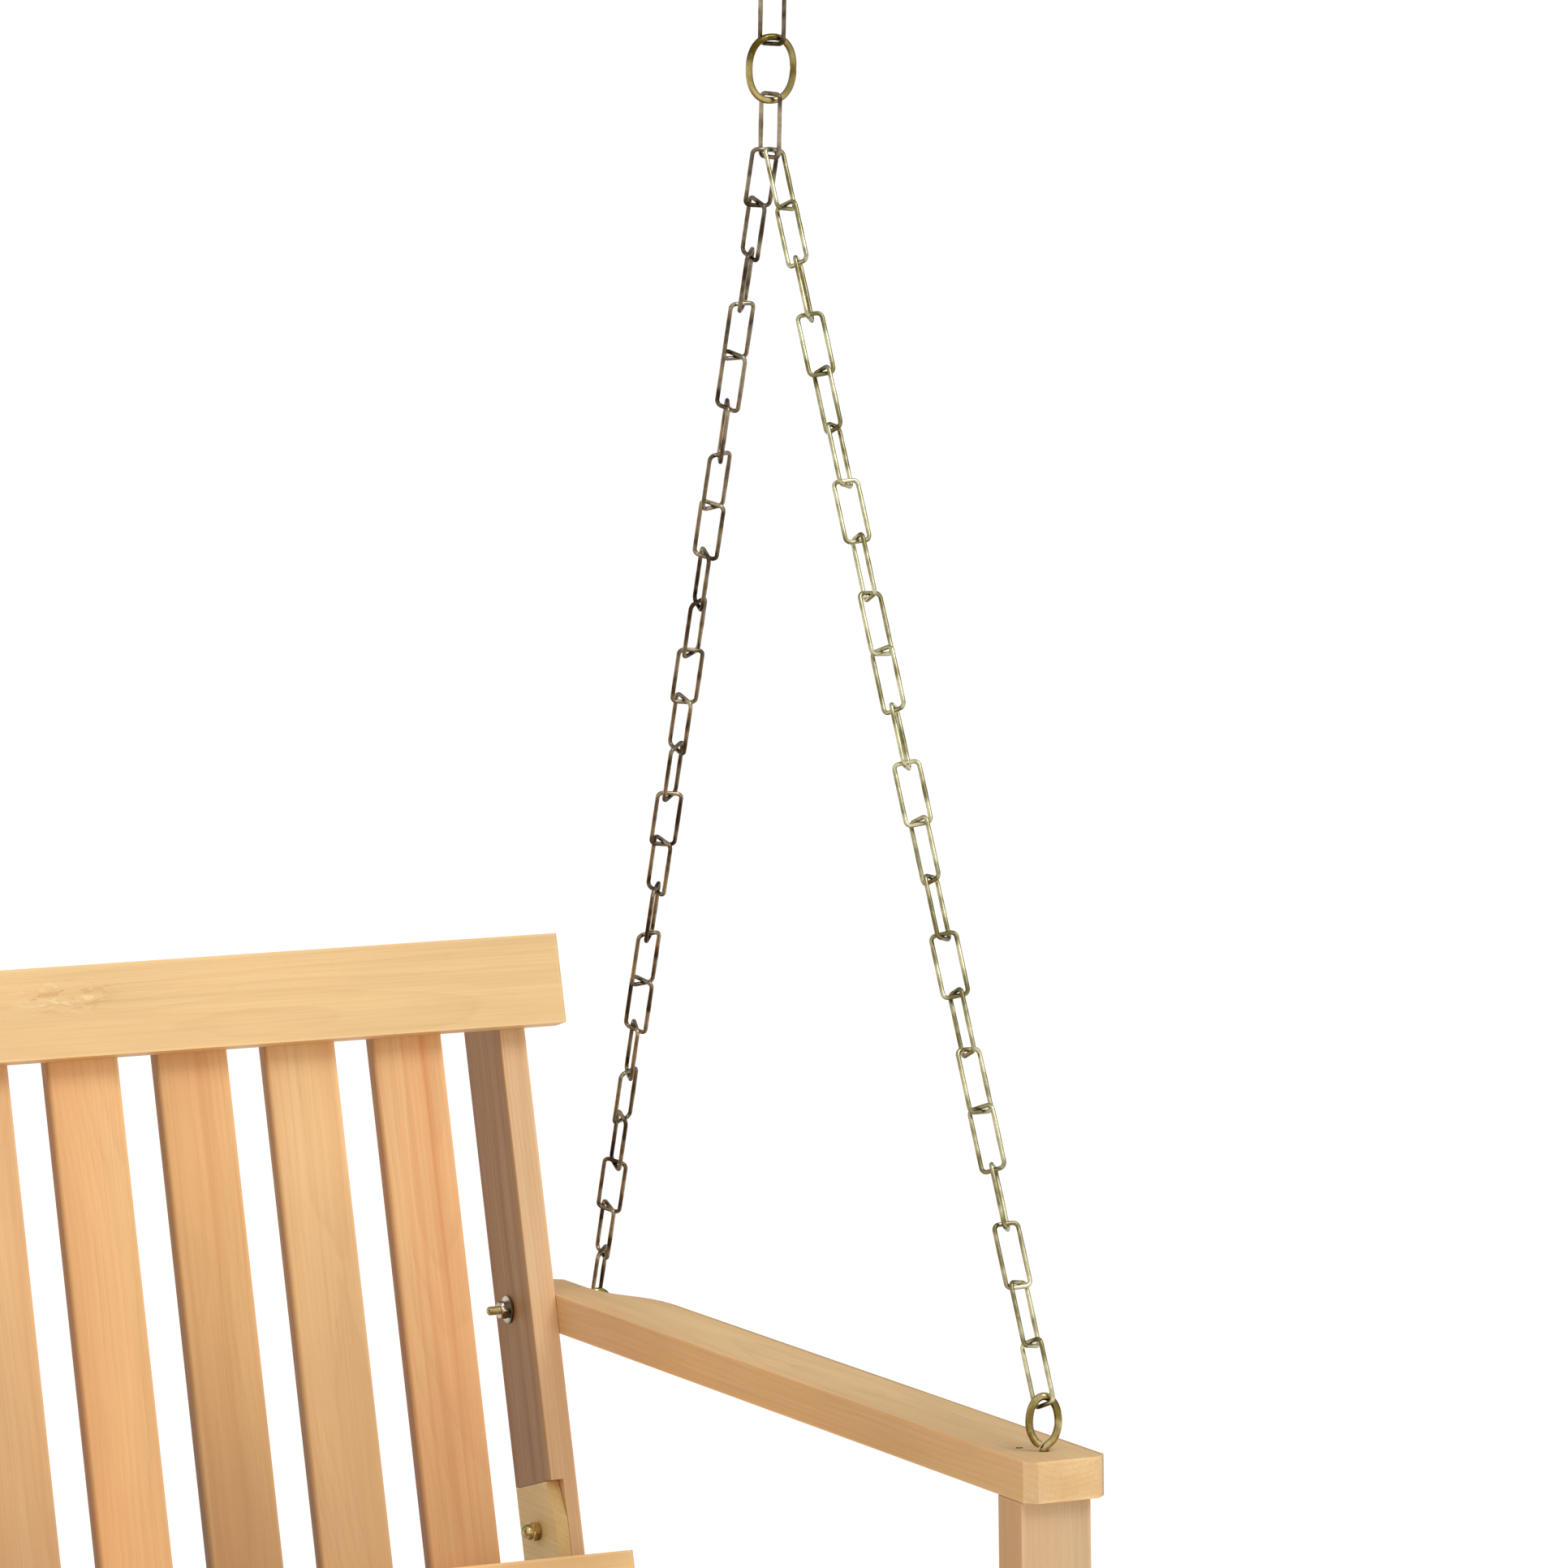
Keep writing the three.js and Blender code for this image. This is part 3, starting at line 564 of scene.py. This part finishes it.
def ease_edges(piece, width=1.5):
    """Rounds a board's sharp edges and shades it smoothly."""
    flat = piece.modifiers.new("merge_flats", "DECIMATE")
    flat.decimate_type = "DISSOLVE"
    flat.angle_limit = math.radians(2)
    bevel = piece.modifiers.new("eased_edges", "BEVEL")
    bevel.width = width * MM
    bevel.segments = 3
    bevel.limit_method = "ANGLE"
    bevel.angle_limit = math.radians(35)
    bevel.miter_outer = "MITER_ARC"
    piece.modifiers.new("smooth", "NODES").node_group = SMOOTH
    piece.modifiers.new("weighted", "WEIGHTED_NORMAL").keep_sharp = True


def finish_board(node, turn, order, board_tone, edge=1.5, **grain):
    """Gives a packed board its grain and its eased edges."""
    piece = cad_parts[node]
    axes = axes_of(turn, order)
    piece.material_slots[0].material = wood_material(node, axes, board_tone, **grain)
    ease_edges(piece, edge)


# the slats at the right end of the back; the others are drawn by chance between them
# each slat's foot value sets how much painted shade darkens its lower end
SLATS = {
    10: {"pale": (228, 187, 134), "deep": 0.78, "warmth": 1.0, "streaks": 0.40, "foot": 0.7},
    11: {"pale": (236, 188, 128), "deep": 0.80, "warmth": 1.0, "streaks": 0.35, "foot": 0.45},
    12: {"pale": (225, 182, 124), "deep": 0.74, "warmth": 1.3, "streaks": 0.50, "foot": 1.15},
    13: {"pale": (232, 189, 133), "deep": 0.78, "warmth": 1.0, "streaks": 0.20, "foot": 0.85},
    14: {"pale": (232, 185, 129), "deep": 0.74, "warmth": 1.6, "streaks": 0.95, "foot": 0.7},
}


def slope_of(node):
    """The turn about X of a seat slat, from its widest face."""
    widest = max(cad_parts[node].data.polygons, key=lambda face: face.area)
    normal = widest.normal if widest.normal.z > 0 else -widest.normal
    return Matrix.Rotation(math.atan2(-normal.y, normal.z), 4, "X")


def finish_wood():
    """Gives every board its tone and grain."""
    leaning = TILT @ LEAN
    finish_board(
        "top_back_rail", leaning, "XZY", tone((226, 191, 136), 0.82, 0.6),
        streaks=0.35, ring=4.5, tear=(0.243, 0.009, 0.009),
    )
    finish_board(
        "bottom_back_rail", leaning, "XZY", tone((234, 196, 137), 0.84, 0.5),
        streaks=0.2, ring=4.0,
    )

    dice = random.Random(14)
    for i in range(1, SLAT_COUNT + 1):
        slat = {
            "pale": (dice.uniform(227, 238), dice.uniform(183, 190), dice.uniform(125, 133)),
            "streaks": dice.choice((0.2, 0.35, 0.6)), "deep": 0.80, "warmth": 0.8, "foot": 0.7,
        }
        slat.update(SLATS.get(i, {}))
        # painted shade darkens each slat's lower end and its left side face
        finish_board(
            f"back_slat_{i:02d}", leaning, "ZXY", tone(slat["pale"], slat["deep"], slat["warmth"]),
            edge=0.8, streaks=slat["streaks"], ring=2.2 + dice.random() * 1.2,
            foot=slat["foot"], heart=(0, -0.99, 0),
        )

    for i in range(1, SEAT_SLAT_COUNT + 1):
        drawn = (dice.uniform(230, 238), dice.uniform(185, 191), dice.uniform(128, 134))
        node = f"seat_slat_{i}"
        finish_board(
            node, slope_of(node), "XYZ", tone(drawn, 0.80, 0.7),
            edge=2.2, streaks=dice.uniform(0.2, 0.6),
        )

    finish_board("front_stretcher", TILT, "XZY", tone((232, 188, 138)), streaks=0.3, ring=3.6)
    finish_board("seat_bearer_middle", TILT, "YZX", tone((222, 180, 130)), streaks=0.3)
    for side in SIDES:
        outward = 1 if side == "right" else -1
        finish_board("seat_bearer_" + side, TILT, "YZX", tone((218, 188, 124)), streaks=0.15)
        # painted shade darkens the upright's inner face
        finish_board(
            "back_upright_" + side, leaning, "ZYX", tone((216, 181, 136), 0.78, 1.3),
            streaks=1.0, ring=2.8, heart=(0, 0, outward),
        )
        # painted shade darkens the armrest's outer face
        finish_board(
            "armrest_" + side, TILT, "YXZ", tone((224, 189, 136)),
            edge=1.8, streaks=0.25, ring=3.8, end=0.0, heart=(0, 0.97 * outward, 0),
        )
        finish_board(
            "front_post_" + side, TILT, "ZXY", tone((202, 170, 130)),
            edge=1.8, streaks=0.2, ring=3.4, figure=0.12,
        )


# ---- metal ------------------------------------------------------------------------
def plated_material(name, bright, dark, tarnish, rough=(0.14, 0.32), scale=55.0):
    """Yellow-passivated steel: hue that drifts along the piece, dull patches, fine scratches, and painted
    shade on faces that point down.
    """
    material, g, shader = new_material(name)
    place = g.add("ShaderNodeTexCoord").outputs["Object"]
    drift = g.noise(place, scale, 2.0, 0.55)
    mottle = g.noise(place, 420.0, 3.0, 0.6)
    scratch = g.noise(g.stretch(place, (900, 900, 5200)), 1.0, 2.0, 0.6)
    worn = g.fade(g.noise(place, 150.0, 3.0, 0.6), 0.52, 0.70)
    surface = g.mix(g.fade(drift, 0.36, 0.64), dark, bright)
    surface = g.mix(g.math("MULTIPLY", worn, 0.55), surface, tarnish)
    surface = g.mix(g.fade(mottle, 0.35, 0.75, 0.0, 0.25), surface, dark)
    # painted shade: the base colour darkens on faces that point down
    _, _, upward = g.split(g.add("ShaderNodeNewGeometry").outputs["Normal"])
    painted_underside_shade = g.mix(0.6, dark, (0.02, 0.015, 0.01, 1))
    surface = g.mix(g.fade(upward, 0.15, -0.85, 0.0, 0.75), surface, painted_underside_shade)
    g.tree.links.new(surface, shader.inputs["Base Color"])
    g.tree.links.new(g.fade(mottle, 0.3, 0.75, *rough), shader.inputs["Roughness"])
    relief = g.add("ShaderNodeBump", {"Height": scratch, "Strength": 0.25, "Distance": 0.00008})
    g.tree.links.new(relief.outputs["Normal"], shader.inputs["Normal"])
    shader.inputs["Metallic"].default_value = 1.0
    return material


METAL = {
    "front_chain": plated_material("olive_brass_wire", colour(222, 216, 174), colour(122, 113, 72),
                                   colour(170, 162, 124)),
    # the rear chain's plating is drawn darker than the front chain's as painted shade; the upper chain and
    # the gather link share it
    "rear_chain": plated_material("chain_plating_painted_shade", colour(180, 164, 136), colour(66, 52, 34),
                                  colour(112, 102, 86)),
    "ring": plated_material("ring_plating", colour(208, 188, 122), colour(92, 74, 22),
                            colour(150, 132, 80), scale=28.0),
    "hook": plated_material("hook_plating", colour(226, 208, 150), colour(124, 106, 52),
                            colour(168, 152, 104), rough=(0.08, 0.22)),
    # the armrest screw's steel is darker, as painted shade of the hole it sits in
    "recess_shaded_screw": plated_material("recess_shaded_screw_steel", colour(132, 100, 72), colour(56, 38, 26),
                                 colour(96, 62, 40), rough=(0.35, 0.6)),
    "bolt": plated_material("bolt_steel", colour(200, 191, 172), colour(104, 94, 78),
                            colour(140, 128, 108), rough=(0.16, 0.36)),
}


def link_solid():
    """One welded link: an oblong wire with a slight weld swelling on one long side."""
    path = oblong(LINK_WIDTH - LINK_WIRE, PITCH + LINK_WIRE, LINK_CORNER)
    side = max(range(len(path)), key=lambda i: (path[i].x, -abs(path[i].y)))

    def radius(share):
        apart = abs(share - side / len(path))
        return LINK_WIRE / 2 * (1 + 0.10 * math.exp(-((apart * 60) ** 2)))

    return sweep(path, radius, closed=True)


def chain(start, end, facing, rolls):
    """A taut chain of interlinked links, each rolled about the chain from facing one way."""
    along = end - start
    play = (along.length - len(rolls) * PITCH) / 2
    along.normalize()
    parts = Parts()
    for k, roll in enumerate(rolls):
        centre = start + along * (play + (k + 0.5) * PITCH)
        normal = facing - facing.dot(along) * along
        normal.rotate(Matrix.Rotation(math.radians(roll), 3, along))
        parts.add(link_solid(), frame_of(centre, along, normal))
    return parts


# ---- the sling's geometry, in the bench's level axes -------------------------------
front_eye_centre = Vector((
    HALF + FRONT_EYE["x"], FRONT_EYE["y"], ARM_TOP + FRONT_EYE["lift"] + FRONT_EYE["height"] / 2,
))
rear_eye_centre = Vector((
    HALF + GAP + ARM_REAR_WIDTH + REAR_EYE["stand_off"] + REAR_EYE["width"] / 2,
    REAR_EYE["y"], REAR_EYE["z"],
))
front_bearing = front_eye_centre + Z * (FRONT_EYE["height"] / 2 - FRONT_EYE["wire"])
rear_inner = REAR_EYE["width"] / 2 - REAR_EYE["wire"]


def sling_apex():
    """The point, seen from the side, where legs of the two lengths meet above the eyes."""
    front_leg = len(FRONT_ROLLS) * PITCH - 2 * END_PLAY
    rear_leg = len(REAR_ROLLS) * PITCH - 2 * END_PLAY + rear_inner
    a = math.sqrt(front_leg ** 2 - (front_bearing.x - SLING_X) ** 2)
    b = math.sqrt(rear_leg ** 2 - (rear_eye_centre.x - SLING_X) ** 2)
    dy = rear_eye_centre.y - front_bearing.y
    dz = rear_eye_centre.z - front_bearing.z
    between = math.hypot(dy, dz)
    run = (a * a - b * b + between * between) / (2 * between)
    rise = math.sqrt(a * a - run * run)
    return Vector((
        SLING_X,
        front_bearing.y + (run * dy - rise * dz) / between,
        front_bearing.z + (run * dz + rise * dy) / between,
    ))


apex = sling_apex()
HANG = Matrix.Translation((0, 0, APEX_Z)) @ TILT @ Matrix.Translation((0, -apex.y, -apex.z))
rear_bearing = rear_eye_centre + (apex - rear_eye_centre).normalized() * rear_inner


def eye_path(half_width, low, high, shank):
    """A bent eye in its own plane: up the shank, once round the eye and back to touch the shank."""
    middle = (low + high) / 2
    reach = (high - low) / 2
    turns = [-52, -25, 0, 30, 60, 90, 120, 150, 180, 205, 232, 252]
    around = [
        (half_width * math.cos(math.radians(t)), middle + reach * math.sin(math.radians(t)))
        for t in turns
    ]
    return smooth_path([(0, -shank), (0, -shank / 2), (0, low - 5), (0.3, low - 1.5), *around])


def make_sling(side):
    """The two chain legs of one side with the gather link that they hang on."""
    mirror = MIRROR[side]
    bar = level(GATHER_ROLL + 90)
    offset = bar * LEG_SPREAD
    front = chain(apex - offset, front_bearing, level(FACING), FRONT_ROLLS)
    rear = chain(apex + offset, rear_bearing, level(FACING), REAR_ROLLS)
    for name, parts in (("front_chain", front), ("rear_chain", rear)):
        piece = add_object(
            f"{name}_links_{side}", parts.verts, parts.faces, mirror @ HANG, METAL[name], "bench",
        )
        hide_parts(f"{name}_{side}")
    link = Parts().add(link_solid(), frame_of(
        Vector((SLING_X, 0, (GATHER_TOP + APEX_Z) / 2)), Z, level(GATHER_ROLL),
    ))
    piece = add_object(
        f"gather_link_wire_{side}", link.verts, link.faces, mirror, METAL["rear_chain"], "bench",
    )
    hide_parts(f"gather_link_{side}")


def make_upper(side):
    """The short chain above the ring, and the ring."""
    mirror = MIRROR[side]
    start = Vector((SLING_X, 0, HOOK_Z))
    end = Vector((SLING_X, 0, RING_TOP))
    parts = chain(start, end, level(0), [k * UPPER_ROLL for k in range(UPPER_LINKS)])
    piece = add_object(
        f"upper_chain_links_{side}", parts.verts, parts.faces, mirror, METAL["rear_chain"],
        "upper_chains",
    )
    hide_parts(f"upper_chain_{side}")

    wire = RING["wire"]
    path = oval(RING["width"] - wire, RING["height"] - wire, RING["squareness"])

    def radius(share):
        # a slight neck where the ring's ends were joined
        return wire / 2 * (1 - 0.10 * math.exp(-((share - 0.5) * 90) ** 2))

    ring = Parts().add(
        sweep(path, radius, True, 16),
        frame_of(Vector((SLING_X, 0, RING_TOP - RING_INNER / 2)), Z, Y),
    )
    piece = add_object(
        f"gather_ring_wire_{side}", ring.verts, ring.faces, mirror, METAL["ring"], "upper_chains",
    )
    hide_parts(f"gather_ring_{side}")


def make_front_eye(side):
    """The eye bolt that stands in the armrest."""
    pull = (apex - front_bearing).normalized()
    normal = level(GATHER_ROLL + 90)
    normal -= normal.dot(pull) * pull
    normal.rotate(Matrix.Rotation(math.radians(FRONT_EYE_TURN), 3, pull))
    wire = FRONT_EYE["wire"]
    half = (FRONT_EYE["width"] - wire) / 2
    low = FRONT_EYE["lift"] + wire / 2
    path = eye_path(half, low, low + FRONT_EYE["height"] - wire, 8)
    foot = Vector((HALF + FRONT_EYE["x"], FRONT_EYE["y"], ARM_TOP))
    place = frame_of(foot, Z, Vector((-normal.y, normal.x, 0)))
    parts = Parts().add(sweep(path, lambda share: wire / 2, False, 16), place)
    plain = FRONT_EYE["plain"]
    down = Matrix.Translation(foot - plain * Z) @ Matrix.Rotation(math.pi, 4, "X")
    parts.add(threaded(FRONT_EYE["shank"] - plain, SHANK), down)
    piece = add_object(
        f"front_eye_{side}", parts.verts, parts.faces, MIRROR[side] @ HANG, METAL["hook"], "bench",
    )
    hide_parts(f"front_eye_bolt_{side}")


def make_rear_eye(side):
    """The eye bolt through the armrest and the upright."""
    up = (rear_bearing - rear_eye_centre).normalized()
    wire = REAR_EYE["wire"]
    half = (REAR_EYE["width"] - wire) / 2
    root = HALF + GAP + ARM_REAR_WIDTH + 1
    path = eye_path(half, REAR_EYE["stand_off"] + wire / 2 - 1, half * 2 + wire / 2, 30)
    outward = frame_of(Vector((root, REAR_EYE["y"], REAR_EYE["z"])), X, up.cross(X))
    parts = Parts().add(sweep(path, lambda share: wire / 2, False, 16), outward)
    inner = HALF - BOARD - REAR_EYE["stick_out"]
    thread_start = root - REAR_EYE["plain"]
    thread = threaded(thread_start - inner, SHANK)
    parts.add(thread, along_x(thread_start, REAR_EYE["y"], REAR_EYE["z"]))
    piece = add_object(
        f"rear_eye_{side}", parts.verts, parts.faces, MIRROR[side] @ HANG, METAL["hook"], "bench",
    )
    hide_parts(f"rear_eye_bolt_{side}")


def nut_rings(height, start=0.0, chamfer=0.9):
    """Outline of a chamfered hexagon nut."""
    flat = NUT["width"] / 2 * 0.93
    return [
        (SHANK / 2, start), (flat * 0.98, start), (flat, start + chamfer, 1),
        (flat, start + height - chamfer, 1), (flat * 0.98, start + height), (SHANK / 2, start + height),
    ]


def washer_rings():
    r, t = WASHER["width"] / 2, WASHER["thickness"]
    ease = 0.25
    return [
        (SHANK / 2, GAP), (r - ease, GAP), (r, GAP + ease),
        (r, t - ease), (r - ease, t), (SHANK / 2, t),
    ]


def round_top(radius, centre, rise, first):
    """Outline of a domed top, from an angle in degrees up to its crown."""
    turns = [math.radians(a) for a in range(first, 90, 9)]
    outline = [(radius * math.cos(turn), centre + rise * math.sin(turn)) for turn in turns]
    return [*outline, (0.2, centre + rise)]


def make_nuts(side):
    """The nuts and bolts of one side of the bench."""
    inner = HALF - BOARD
    lap = back(LAP_BOLT_V, -UPRIGHT_DEPTH / 2)
    matrix = MIRROR[side] @ HANG

    def piece(name, parts, look, node, slot):
        made = add_object(f"{name}_{side}", parts.verts, parts.faces, matrix, METAL[look], "bench")
        made.modifiers.new("smooth", "NODES").node_group = SMOOTH
        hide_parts(f"{node}_{side}")

    for name, node, at in (
        ("rear_eye_hex_nut", "rear_eye_nut", (REAR_EYE["y"], REAR_EYE["z"])),
        ("post_hex_nut", "post_nut", POST_BOLT),
    ):
        parts = Parts().add(turned(washer_rings()), along_x(inner, *at))
        nut = nut_rings(NUT["height"] - WASHER["thickness"], WASHER["thickness"])
        parts.add(turned(nut), along_x(inner, *at))
        piece(name, parts, "bolt", node, "bolt_steel")

    flat = NUT["width"] / 2 * 0.95
    dome = [(SHANK / 2, GAP), (flat, GAP), (flat, GAP + 0.6, 1), (flat, 4.6, 1), (5.1, 5.1)]
    dome += round_top(DOME["radius"], DOME["centre"], DOME["rise"], 0)
    parts = Parts().add(turned(dome), along_x(inner, *lap))
    piece("lap_dome_nut", parts, "hook", "lap_nut", "hook_plating")

    radius, rim = BOLT_HEAD["radius"], BOLT_HEAD["rim"]
    head = [(SHANK / 2, 0), (radius, GAP), (radius + 0.1, rim)]
    head += round_top(radius, rim, BOLT_HEAD["rise"], 9)
    for name, node, face, at, end in (
        ("lap_coach_bolt", "lap_bolt", HALF, lap, BOLT_ENDS["lap"]),
        ("post_coach_bolt", "post_bolt", HALF + GAP + POST_WIDTH, POST_BOLT, BOLT_ENDS["post"]),
    ):
        parts = Parts().add(turned(head), along_x(face, *at, inwards=False))
        parts.add(threaded(face - inner + end, SHANK), along_x(face, *at))
        piece(name, parts, "bolt", node, "bolt_steel")


def cut_holes(piece, holes):
    """Subtracts upright cylinders of (x, y, width) from a piece, in millimetres."""
    for x, y, width in holes:
        bpy.ops.mesh.primitive_cylinder_add(
            vertices=40, radius=width / 2 * MM, depth=0.03, location=(x * MM, y * MM, 0),
        )
        cutter = bpy.context.object
        step = piece.modifiers.new("hole", "BOOLEAN")
        step.operation = "DIFFERENCE"
        step.object = cutter
        graph = bpy.context.evaluated_depsgraph_get()
        applied = bpy.data.meshes.new_from_object(piece.evaluated_get(graph))
        piece.modifiers.remove(step)
        piece.data = applied
        bpy.data.objects.remove(cutter)


def make_hanger(side):
    """The ceiling plate with its two screw holes, and the bow that the chain hangs on."""
    length, width, thickness = HANGER["plate"]
    outline = oblong(length, width, HANGER["corner"], 8, 2)
    chamfer = HANGER["chamfer"]
    levels = [(-thickness, -chamfer), (-thickness + chamfer, 0), (0, 0)]
    verts = []
    for z, shrink in levels:
        for p in outline:
            x = p.x * (1 + 2 * shrink / length)
            verts.append((SLING_X + x, p.y * (1 + 2 * shrink / width), z))
    count = len(outline)
    faces = grid_faces(len(levels), count, False, True)
    faces += [list(range(count)), list(range((len(levels) - 1) * count, len(levels) * count))]
    name = f"ceiling_plate_{side}"
    piece = add_object(name, verts, faces, MIRROR[side], METAL["hook"], "hangers", smooth=False)
    sign = 1 if side == "right" else -1
    places = [sign * (SLING_X + s * HANGER["hole_x"]) for s in (-1, 1)]
    cut_holes(piece, [(x, 0, HANGER["hole"]) for x in places])
    piece.modifiers.new("smooth", "NODES").node_group = SMOOTH
    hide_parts(f"ceiling_hanger_{side}")

    wire = HANGER["wire"]
    half = (HANGER["width"] - wire) / 2
    low = HOOK_Z - wire / 2
    turns = [math.radians(a) for a in range(195, 350, 15)]
    bend = [(half * math.cos(turn), low + half + half * math.sin(turn)) for turn in turns]
    # down from inside the plate, once round the bend and up again
    leg = [-thickness + 1.5, -9, -14]
    path = smooth_path([*[(-half, z) for z in leg], *bend, *[(half, z) for z in reversed(leg)]])
    bow = Parts().add(
        sweep(path, lambda share: wire / 2, False, 16),
        frame_of(Vector((SLING_X, 0, 0)), Z, Y),
    )
    for s in (-1, 1):
        weld = [(wire / 2 + out, z) for out, z in ((0, 0), (1.6, 0), (1.3, 0.7), (0.4, 1.5), (0, 1.7))]
        foot = Matrix.Translation((SLING_X + s * half, 0, -thickness))
        bow.add(turned(weld, 32), foot @ Matrix.Rotation(math.pi, 4, "X"))
    piece = add_object(f"ceiling_bow_{side}", bow.verts, bow.faces, MIRROR[side], METAL["hook"], "hangers")


# ---- screws -----------------------------------------------------------------------
def add_screws(name, places, width, look="bolt"):
    """Cross-head screws; each place is a matrix whose Z points out of the wood."""
    dice = random.Random(name)
    parts = Parts()
    for place in places:
        turn = Matrix.Rotation(dice.uniform(0, math.pi), 4, "Z")
        parts.add(screw_head(width, SCREW_RISE), place @ turn)
    piece = add_object(name, parts.verts, parts.faces, Matrix.Identity(4), METAL[look], "bench")
    piece.modifiers.new("smooth", "NODES").node_group = SMOOTH


def make_screws():
    """The screws of the slats, and the small one in each armrest."""
    behind = []
    out_of_back = Matrix.Rotation(math.radians(-90), 4, "X")
    for i in range(SLAT_COUNT):
        x = (i - (SLAT_COUNT - 1) / 2) * SLAT_PITCH
        for v in (BACK_OPENING + BACK_SCREW["above"], -RAIL_HEIGHT / 2):
            for across in (-BACK_SCREW["across"], BACK_SCREW["across"]):
                at = Matrix.Translation((x + across, SLAT_THICKNESS, v + across * 0.3))
                behind.append(HANG @ LEAN @ at @ out_of_back)
    add_screws("back_slat_screws", behind, BACK_SCREW["width"])

    on_seat = []
    for i in range(1, SEAT_SLAT_COUNT + 1):
        node = f"seat_slat_{i}"
        axes = slope_of(node).to_3x3()
        centre, half = local_box(node, axes)
        for x in (-HALF + BOARD / 2, 0, HALF - BOARD / 2):
            for y in (-SEAT_SCREW["across"], SEAT_SCREW["across"]):
                at = centre / MM + axes @ Vector((x, y, half.z / MM - 0.55))
                on_seat.append(Matrix.Translation(at) @ axes.to_4x4())
    add_screws("seat_slat_screws", on_seat, SEAT_SCREW["width"])

    for side in SIDES:
        at = Matrix.Translation((HALF + ARM_SCREW["x"], ARM_SCREW["y"], ARM_TOP - 0.6))
        place = MIRROR[side] @ HANG @ at
        # darker steel: painted shade of the screw's hole
        add_screws(f"armrest_screw_{side}", [place], ARM_SCREW["width"], "recess_shaded_screw")


# ---- stage ------------------------------------------------------------------------
FLOOR_Z = -1.62
FLOOR_REACH = 60
FLOOR_GLOW = 0.12
SKY = {"dim": 0.30, "bright": 0.90, "towards": (-0.40, -0.80, 0.45)}
SUN = {"strength": 1.15, "spread": 28, "direction": (-0.25, 0.55, -0.80)}
CAMERA = {
    "place": (-1.50868, -4.51654, 0.2515), "look": (0.413288, 0.894177, -0.172166),
    "roll": 1.1, "lens": 192.017, "sensor": 36,
}


def make_stage():
    """A pale floor, and the white that the camera sees all round."""
    mesh = bpy.data.meshes.new("floor")
    corners = [(-1, -1), (1, -1), (1, 1), (-1, 1)]
    mesh.from_pydata([(x * FLOOR_REACH, y * FLOOR_REACH, FLOOR_Z) for x, y in corners], [], [(0, 1, 2, 3)])
    floor = bpy.data.objects.new("floor", mesh)
    bpy.context.scene.collection.objects.link(floor)
    material, g, shader = new_material("pale_floor")
    place = g.add("ShaderNodeTexCoord").outputs["Object"]
    cloudy = g.mix(g.noise(place, 1.5, 3.0), (0.93, 0.93, 0.93, 1), (0.96, 0.96, 0.955, 1))
    g.tree.links.new(cloudy, shader.inputs["Base Color"])
    shader.inputs["Roughness"].default_value = 0.9
    shader.inputs["Specular IOR Level"].default_value = 0.1
    shader.inputs["Emission Color"].default_value = (1, 1, 1, 1)
    shader.inputs["Emission Strength"].default_value = FLOOR_GLOW
    floor.data.materials.append(material)

    # a white surround that only the camera sees, so that it adds no light
    bpy.ops.mesh.primitive_uv_sphere_add(segments=32, ring_count=16, radius=FLOOR_REACH * 1.2)
    surround = bpy.context.object
    surround.name = "surround"
    material, g, shader = new_material("white_surround")
    shader.inputs["Base Color"].default_value = (0, 0, 0, 1)
    shader.inputs["Emission Color"].default_value = (1, 1, 1, 1)
    shader.inputs["Emission Strength"].default_value = 1.0
    surround.data.materials.append(material)
    for ray in ("diffuse", "glossy", "transmission", "volume_scatter", "shadow"):
        setattr(surround, "visible_" + ray, False)


def make_light():
    """A sky that is brighter behind the camera, and a soft sun."""
    world = bpy.data.worlds.new("studio")
    bpy.context.scene.world = world
    world.use_nodes = True
    background = world.node_tree.nodes["Background"]
    background.inputs["Color"].default_value = (1.0, 1.0, 1.0, 1)
    g = Graph(world.node_tree)
    direction = g.add("ShaderNodeTexCoord").outputs["Generated"]
    lit_side = Vector(SKY["towards"]).normalized()
    facing = g.vector("DOT_PRODUCT", direction, lit_side, output="Value")
    strength = g.fade(facing, -0.75, 0.75, SKY["dim"], SKY["bright"])
    g.tree.links.new(strength, background.inputs["Strength"])
    key = bpy.data.lights.new("key", "SUN")
    key.energy = SUN["strength"]
    key.angle = math.radians(SUN["spread"])
    lamp = bpy.data.objects.new("key", key)
    lamp.rotation_mode = "QUATERNION"
    lamp.rotation_quaternion = Vector(SUN["direction"]).to_track_quat("-Z", "Y")
    bpy.context.scene.collection.objects.link(lamp)
    bpy.context.scene.view_settings.view_transform = "Standard"


def make_camera():
    """The camera of the photo, with its slight roll."""
    data = bpy.data.cameras.new("camera")
    data.lens = CAMERA["lens"]
    data.sensor_width = CAMERA["sensor"]
    data.clip_end = 200
    camera = bpy.data.objects.new("camera", data)
    look = Vector(CAMERA["look"]).normalized()
    right = look.cross(Z).normalized()
    up = right.cross(look)
    roll = math.radians(CAMERA["roll"])
    rolled_right = right * math.cos(roll) + up * math.sin(roll)
    rolled_up = up * math.cos(roll) - right * math.sin(roll)
    turn = Matrix((rolled_right, rolled_up, -look)).transposed()
    camera.matrix_world = Matrix.Translation(CAMERA["place"]) @ turn.to_4x4()
    bpy.context.scene.collection.objects.link(camera)
    bpy.context.scene.camera = camera


make_camera()
make_light()
make_stage()
finish_wood()
for side in SIDES:
    make_sling(side)
    make_upper(side)
    make_front_eye(side)
    make_rear_eye(side)
    make_nuts(side)
    make_hanger(side)
make_screws()
